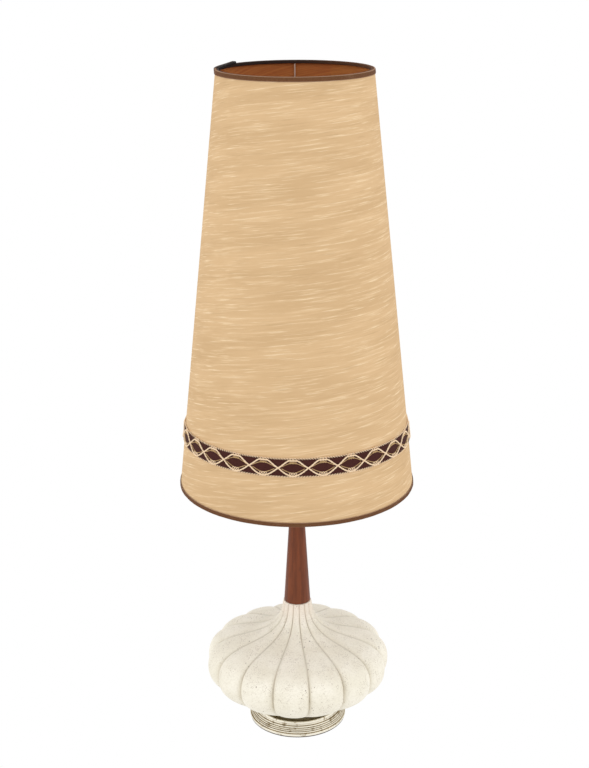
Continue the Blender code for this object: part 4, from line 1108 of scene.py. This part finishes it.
def make_finial():
    re_turned("finial_seat", BRASS, 0.3 * MM)
    low, top = levels("finial_knob")
    outline = outline_of("finial_knob")
    hole = min(radius for radius, height in outline if height < low + NEAR)
    hole_top = max(height for radius, height in outline if abs(radius - hole) < NEAR)
    foot = rims("finial_knob", low)[1]
    ball = max(radius for radius, height in outline if height > low + 8 * MM)
    between = [radius for radius, height in outline if low + NEAR < height < top - ball]
    waist = min(radius for radius in between if radius > hole + NEAR)
    foot_top = low + FINIAL_FOOT
    cove_top = foot_top + FINIAL_COVE
    rounds = arc((0, top - ball), ball, 90, -FINIAL_WRAP, 24)
    rounds[0] = (0, top)
    pulls = ((waist, cove_top + 1 * MM), (waist, foot_top + 1.5 * MM))
    cove = bezier(rounds[-1], *pulls, (foot, foot_top), 8)
    base = softened([(0, low), (foot, low), (foot, foot_top), (0, foot_top)], 1 * MM, 4)
    rim = [point for point in base if point[0] > foot / 2][::-1]
    knob = rounds + cove[1:-1] + rim + [(hole, low), (hole, hole_top), (0, hole_top)]
    fit(turned("finial_ball", knob, BRASS, TURN_SEGMENTS), "finial_knob")


# ---- shade frame

cover_low, cover_high = levels("shade_cover")
COVER_RADII = (rims("shade_cover", cover_low)[1], rims("shade_cover", cover_high)[1])
SLOPE = (COVER_RADII[0] - COVER_RADII[1]) / (cover_high - cover_low)
CONE_SINE = SLOPE / math.hypot(1, SLOPE)


def wall_radius(height):
    """The cover's outer radius at a height."""
    return COVER_RADII[0] - SLOPE * (height - cover_low)


def on_cone(azimuth, height, offset):
    """Points at an offset outside the cover's face."""
    return around_axis(wall_radius(height) + offset, azimuth, height)


def cone_normal(azimuth):
    """The direction out of the shade's wall. Its length isn't 1."""
    return around_axis(1, azimuth, SLOPE)


def make_shade_frame():
    for node in ("shade_top_ring", "shade_bottom_ring"):
        inner, outer = bore_and_rim(node)
        low, high = levels(node)
        section = arc(((inner + outer) / 2, (low + high) / 2), (outer - inner) / 2, 0, 360, 12)[:-1]
        fit(turned(node + "_fine", section, STEEL, 2 * TURN_SEGMENTS), node)
    re_turned("spider_hub", SPIDER, 0.4 * MM)
    hub_low, hub_high = levels("spider_hub")
    hub_rim = bore_and_rim("spider_hub")[1]
    ring_radius = sum(bore_and_rim("shade_top_ring")) / 2
    ring_z = sum(levels("shade_top_ring")) / 2
    arm_z = (hub_low + hub_high) / 2

    def leg(height):
        """The radius of a spider leg's centre line, which lies in the cone of the ring's."""
        return ring_radius + wall_radius(height) - wall_radius(ring_z)

    corner = (leg(arm_z), arm_z)
    bend_start = corner[0] - ARM_BEND
    bend_end = (leg(arm_z + ARM_BEND), arm_z + ARM_BEND)
    bend = bezier((bend_start, arm_z), corner, corner, bend_end, 12)
    reach = [(radius, arm_z) for radius in np.linspace(hub_rim - 1 * MM, bend_start, 8)[:-1]]
    rise = [(leg(z), z) for z in np.linspace(arm_z + ARM_BEND, ring_z - 1.4 * MM, 8)[1:]]
    radii, heights = np.array(reach + bend + rise).T
    for arm in range(3):
        azimuth = math.pi + arm * math.tau / 3
        path = around_axis(radii, azimuth, heights)
        across = (math.cos(azimuth), math.sin(azimuth), 0)
        wire = swept(f"spider_wire_{arm + 1}", path, ARM_WIRE, SPIDER, across)
        fit(wire, f"spider_arm_{arm + 1}")


# ---- shade cloth and tapes


def lay_flat(piece, along, across, fold=0.0):
    """Gives each point its place on the flat sheet, in metres, for the weave. A tape also has folds."""
    flat = np.stack([along, across, fold + 0 * along], -1)
    mark(piece, "flat", flat, "FLOAT_VECTOR", "vector")


def cone_flat(azimuth, radius):
    """Where a point of the cone lies when its wall is rolled out flat."""
    angle = CONE_SINE * (azimuth - SEAM - math.pi)
    slant = radius / CONE_SINE
    return slant * np.sin(angle), -slant * np.cos(angle)


def cone_sheet(name, surface, face, thickness, lap):
    """A cloth wall in the shade's cone, from its outer face inward, with its flat size and area. Its end
    laps over its start, out or in."""
    middle = wall_radius((cover_low + cover_high) / 2)
    past = SEAM_OVERLAP / middle
    ramp = SEAM_RAMP / middle
    round_once = np.linspace(0, math.tau, SHADE_COLUMNS + 1)
    turn = np.union1d(round_once, np.linspace(math.tau - ramp, math.tau + past, 12))
    height = np.linspace(cover_low, cover_high, 66)
    share = np.clip((turn - math.tau + ramp) / ramp, 0, 1)[:, None]
    lift = lap * share**2 * (3 - 2 * share)
    azimuth = (SEAM + turn)[:, None]
    outer = on_cone(azimuth, height, face + lift)
    inner = on_cone(azimuth, height, face + lift - thickness)[:, ::-1]
    sheet = lofted(name, np.hstack([outer, inner]), surface, loop=False, weld=False)
    loop_height = np.concatenate([height, height[::-1]])
    along, across = cone_flat(azimuth, wall_radius(loop_height))
    lay_flat(sheet, along.ravel(), across.ravel())
    half = CONE_SINE * (math.tau + past) / 2
    long, short = (radius / CONE_SINE for radius in COVER_RADII)
    flat = (2 * long * math.sin(half), long - short * math.cos(half))
    return sheet, flat, half * (long**2 - short**2)


def make_cloth():
    lining_face = -COVER_INSET - CLOTH_THICKNESS - LINING_AIR
    for name, node, surface, face, thickness, way in (
        ("slub_cover", "shade_cover", CLOTH, -COVER_INSET, CLOTH_THICKNESS, 1),
        ("shade_lining_cloth", "shade_lining", LINING, lining_face, LINING_THICKNESS, -1),
    ):
        lap = way * (thickness + LAP_AIR)
        cloth, flat, area = cone_sheet(name, surface, face, thickness, lap)
        fit(cloth, node)


def tape_rows(outline, azimuths, waver=0.0):
    """Rows of a tape's section round the rim, a little uneven where it faces out."""
    radius, height = np.array(outline).T
    azimuth = azimuths[:, None]
    middle = (radius.min() + radius.max()) / 2
    drift = 0.5 * np.sin(23 * azimuth) + 0.3 * np.sin(57 * azimuth + 2) + 0.2 * np.sin(91 * azimuth + 1)
    reach = radius + np.where(radius > middle, waver * drift, 0.0)
    return around_axis(reach, azimuth, height)


def flat_tape(piece, outline, azimuths):
    """Lays a folded tape flat: along its length and across its section. Its inner face, where a shadow is
    painted, counts as -1 and its outer edges, where a highlight is painted, as 1."""
    points = np.array(outline)
    radius, height = points.T
    outward = (radius - radius.min()) / np.ptp(radius)
    from_middle = np.abs(2 * (height - height.min()) / np.ptp(height) - 1)
    fold = np.where(outward < 0.4, -1.0, np.clip((from_middle - 0.72) / 0.2, 0, 1) * (outward > 0.6))
    across = np.cumsum(np.linalg.norm(points - np.roll(points, 1, 0), axis=1))
    along = azimuths * points[:, 0].mean()
    grid = np.meshgrid(along, across, indexing="ij")
    lay_flat(piece, grid[0].ravel(), grid[1].ravel(), np.tile(fold, len(azimuths)))


def make_bindings():
    azimuths = SEAM + np.linspace(0, math.tau, SHADE_COLUMNS + 1)
    for node, pieces in (("top_binding", [loose_end()]), ("bottom_binding", [])):
        outline = divided(softened(outline_of(node), TAPE_ROUNDING, 5), 0.8 * MM)
        rows = tape_rows(outline, azimuths, TAPE_WAVER)
        tape = lofted(node + "_tape", rows, TAPE, loop=False, weld=False)
        flat_tape(tape, outline, azimuths)
        fit(tape, node)


def loose_end():
    """The spare end of the top tape, laid over the rim and lifting at its cut end."""
    outline = np.array(outline_of("top_binding"))
    outer, top = outline[:, 0].max(), outline[:, 1].max()
    inner = outline[:, 0].min()
    section = []
    for air, turn in ((TAPE_THICKNESS, 1), (TAPE_END_AIR, -1)):
        section += [
            (outer + air, top - TAPE_END_OUTSIDE),
            (outer + air, top + air),
            (inner - air, top + air),
            (inner - air, top - TAPE_END_INSIDE),
        ][::turn]
    section = divided(softened(section, TAPE_ROUNDING, 5), 0.8 * MM)
    share = np.linspace(0, 1, 40)
    azimuths = TAPE_END_SPAN[0] + share * (TAPE_END_SPAN[1] - TAPE_END_SPAN[0])
    rows = tape_rows(section, azimuths)
    lift = TAPE_END_LIFT * np.clip((share - 0.45) / 0.55, 0, 1) ** 2
    rows[:, :, 2] += lift[:, None]
    # The spare end has the painted-shade copy of the tape.
    piece = lofted("top_tape_end", rows, SHADED_TAPE, loop=False, weld=False)
    flat_tape(piece, section, azimuths)
    return join_body(piece, BODY_OF["top_binding"])


# ---- braid


def rings_on_cone(name, azimuths, heights, offset, radius, surface, points=14, sides=6):
    """Many small wire rings that lie on the shade, as one piece."""
    turn = np.arange(points) * math.tau / points
    level = heights[:, None] + radius * np.sin(turn)
    azimuth = azimuths[:, None] + radius * np.cos(turn) / wall_radius(heights)[:, None]
    centre = on_cone(azimuth, level, offset)
    out = cone_normal(azimuths[:, None])
    out = np.broadcast_to(out / np.linalg.norm(out, axis=-1)[..., None], centre.shape)
    ahead = np.roll(centre, -1, 1) - np.roll(centre, 1, 1)
    side = np.cross(ahead, out)
    side /= np.linalg.norm(side, axis=-1)[..., None]
    angle = (np.arange(sides) * math.tau / sides)[:, None]
    section = np.cos(angle) * out[:, :, None] + np.sin(angle) * side[:, :, None]
    rows = centre[:, :, None] + LOOP_WIRE * section
    index = np.arange(rows[..., 0].size).reshape(rows.shape[:3])
    around_ring = np.roll(index, -1, 1)
    around_wire = np.roll(index, -1, 2)
    corners = (index, around_ring, np.roll(around_ring, -1, 2), around_wire)
    faces = np.stack(corners, -1).reshape(-1, 4).tolist()
    mesh = bpy.data.meshes.new(name)
    mesh.from_pydata(rows.reshape(-1, 3).tolist(), [], faces)
    return piece_of(name, mesh, surface, weld=False)


def lattice_height(turn):
    """The lattice cord's height above the middle after so many diamonds' widths, in runs and tips."""
    part = turn % 1
    upper = np.floor(turn) % 2 == 0
    tip = np.where(upper, UPPER_TIP[1], LOWER_TIP[1])
    run = np.clip(np.minimum(part, 1 - part) / (0.5 - tip), 0, 1)
    eased = 0.6 * run + 0.4 * run**2 * (3 - 2 * run)
    bowed = 0.35 * run + 0.65 * np.sin(run * math.pi / 2)
    return np.where(upper, UPPER_TIP[0] * eased, -LOWER_TIP[0] * bowed)


def make_braid():
    low, high = levels("braid_band")
    middle = (low + high) / 2
    half = (high - low) / 2
    ground_half = half - EDGE_WIDTH
    width = math.tau / DIAMONDS
    azimuths = SEAM + np.linspace(0, math.tau, SHADE_COLUMNS + 1)
    azimuth = azimuths[:, None]
    height = middle + np.linspace(-ground_half, ground_half, 15)
    face = CLEARANCE + GROUND_THICKNESS
    outer = on_cone(azimuth, height, face)
    inner = on_cone(azimuth, height, CLEARANCE)[:, ::-1]
    ground = lofted("braid_ground", np.hstack([outer, inner]), BRAID, loop=False, weld=False)
    along, across = cone_flat(azimuth, wall_radius(np.concatenate([height, height[::-1]])))
    lay_flat(ground, along.ravel(), across.ravel())
    fit(ground, "braid_band")
    pieces = []

    turn = np.linspace(0, 2 * DIAMONDS, 2 * DIAMONDS * 40, endpoint=False)
    crossing = np.round(turn)
    lift = np.exp(-(((turn - crossing) / CROSSING_SPAN) ** 2)) * np.where(crossing % 2 == 0, 1, -1)
    around = FIRST_CROSSING + turn * width
    level = middle + lattice_height(turn)
    path = on_cone(around, level, face + CORD_RADIUS * 0.8 + 0.4 * CORD_RADIUS * lift)
    out = cone_normal(around)
    twist = 2 * math.tau * wall_radius(middle) / TWIST_LENGTH
    cord = swept("braid_cord", path, CORD_RADIUS, CREAM, out, 10, True, CORD_PLY, round(twist))
    pieces.append(cord)

    centres = FIRST_CROSSING + (np.arange(DIAMONDS) + 0.5) * width
    for name, loops, surface in (
        ("braid_tip_loops", UPPER_LOOPS, CREAM),
        ("braid_inner_loops", UPPER_INNER_LOOPS, DULL),
        ("braid_lower_loops", LOWER_LOOPS, CREAM),
    ):
        rise, radius, spacing, count = loops
        row = (np.arange(count) - (count - 1) / 2) * spacing / wall_radius(middle)
        places = (centres[:, None] + row).ravel()
        heights = np.full(len(places), middle + rise)
        pieces.append(rings_on_cone(name, places, heights, face + LOOP_WIRE, radius, surface))

    for side, label in ((1, "upper"), (-1, "lower")):
        turn = np.linspace(0, PICOTS, PICOTS * 8, endpoint=False)
        around = turn * math.tau / PICOTS
        out = cone_normal(around)
        for name, offset, phase, surface in (
            ("teeth", 0.0, 0.0, BRAID),
            ("picots", PICOT_OFFSET, math.pi, CREAM),
        ):
            wave = turn * math.tau + phase
            level = middle + side * (ground_half + offset + PICOT_RADIUS * np.cos(wave))
            rise = CLEARANCE + GROUND_THICKNESS / 2 + PICOT_RADIUS * 0.4 * np.sin(wave)
            path = on_cone(around, level, rise)
            pieces.append(swept(f"braid_{label}_{name}", path, PICOT_WIRE, surface, out, 6, loop=True))

        turn = np.linspace(-INNER_ARC_SPAN, INNER_ARC_SPAN, 24)
        arcs = []
        for centre in centres:
            around = centre + turn * width
            rise = INNER_ARC - INNER_ARC_DROP * np.abs(turn / INNER_ARC_SPAN) ** 1.5
            path = on_cone(around, middle + side * rise, face + 0.3 * MM)
            arcs.append(swept("arc", path, THIN_CORD_RADIUS, DULL, cone_normal(around), 6))
        pieces.append(joined(f"braid_{label}_arcs", arcs))

    for piece in pieces:
        join_body(piece, BODY_OF["braid_band"])


# ---- studio


def make_studio():
    scene = bpy.context.scene
    scene.view_settings.view_transform = "Standard"
    world = bpy.data.worlds.new("studio")
    scene.world = world
    world.use_nodes = True
    background = world.node_tree.nodes["Background"]
    background.inputs["Color"].default_value = (1, 1, 1, 1)
    background.inputs["Strength"].default_value = WORLD_STRENGTH

    for name, place, size, power in LIGHTS:
        light = bpy.data.lights.new(name, "AREA")
        light.size = size
        light.energy = power
        lamp = bpy.data.objects.new(name, light)
        lamp.location = place
        aim = Vector(LIGHT_AIM) - Vector(place)
        lamp.rotation_euler = aim.to_track_quat("-Z", "Y").to_euler()
        bpy.context.collection.objects.link(lamp)

    camera = bpy.data.objects.new("camera", bpy.data.cameras.new("camera"))
    camera.data.lens = CAMERA_LENS
    camera.data.sensor_width = 36
    turn = Matrix.Rotation(math.pi / 2 - CAMERA_PITCH, 4, "X") @ Matrix.Rotation(CAMERA_ROLL, 4, "Z")
    camera.matrix_world = Matrix.Translation(CAMERA_PLACE) @ turn
    bpy.context.collection.objects.link(camera)
    scene.camera = camera


make_studio()
make_base()
make_rod()
make_ceramic()
make_stem()
make_saddle()
make_socket()
make_switch()
make_bulb()
make_harp()
make_finial()
make_shade_frame()
make_cloth()
make_bindings()
make_braid()
for node, surface in (
    ("socket_interior", PHENOLIC),
    ("insulating_sleeve", CARD),
    ("centre_contact", BRASS),
    ("terminal_screw_left", BRASS),
    ("terminal_screw_right", STEEL),
):
    surfaces = frame["nodes"][node].data.materials
    surfaces.clear()
    surfaces.append(surface)
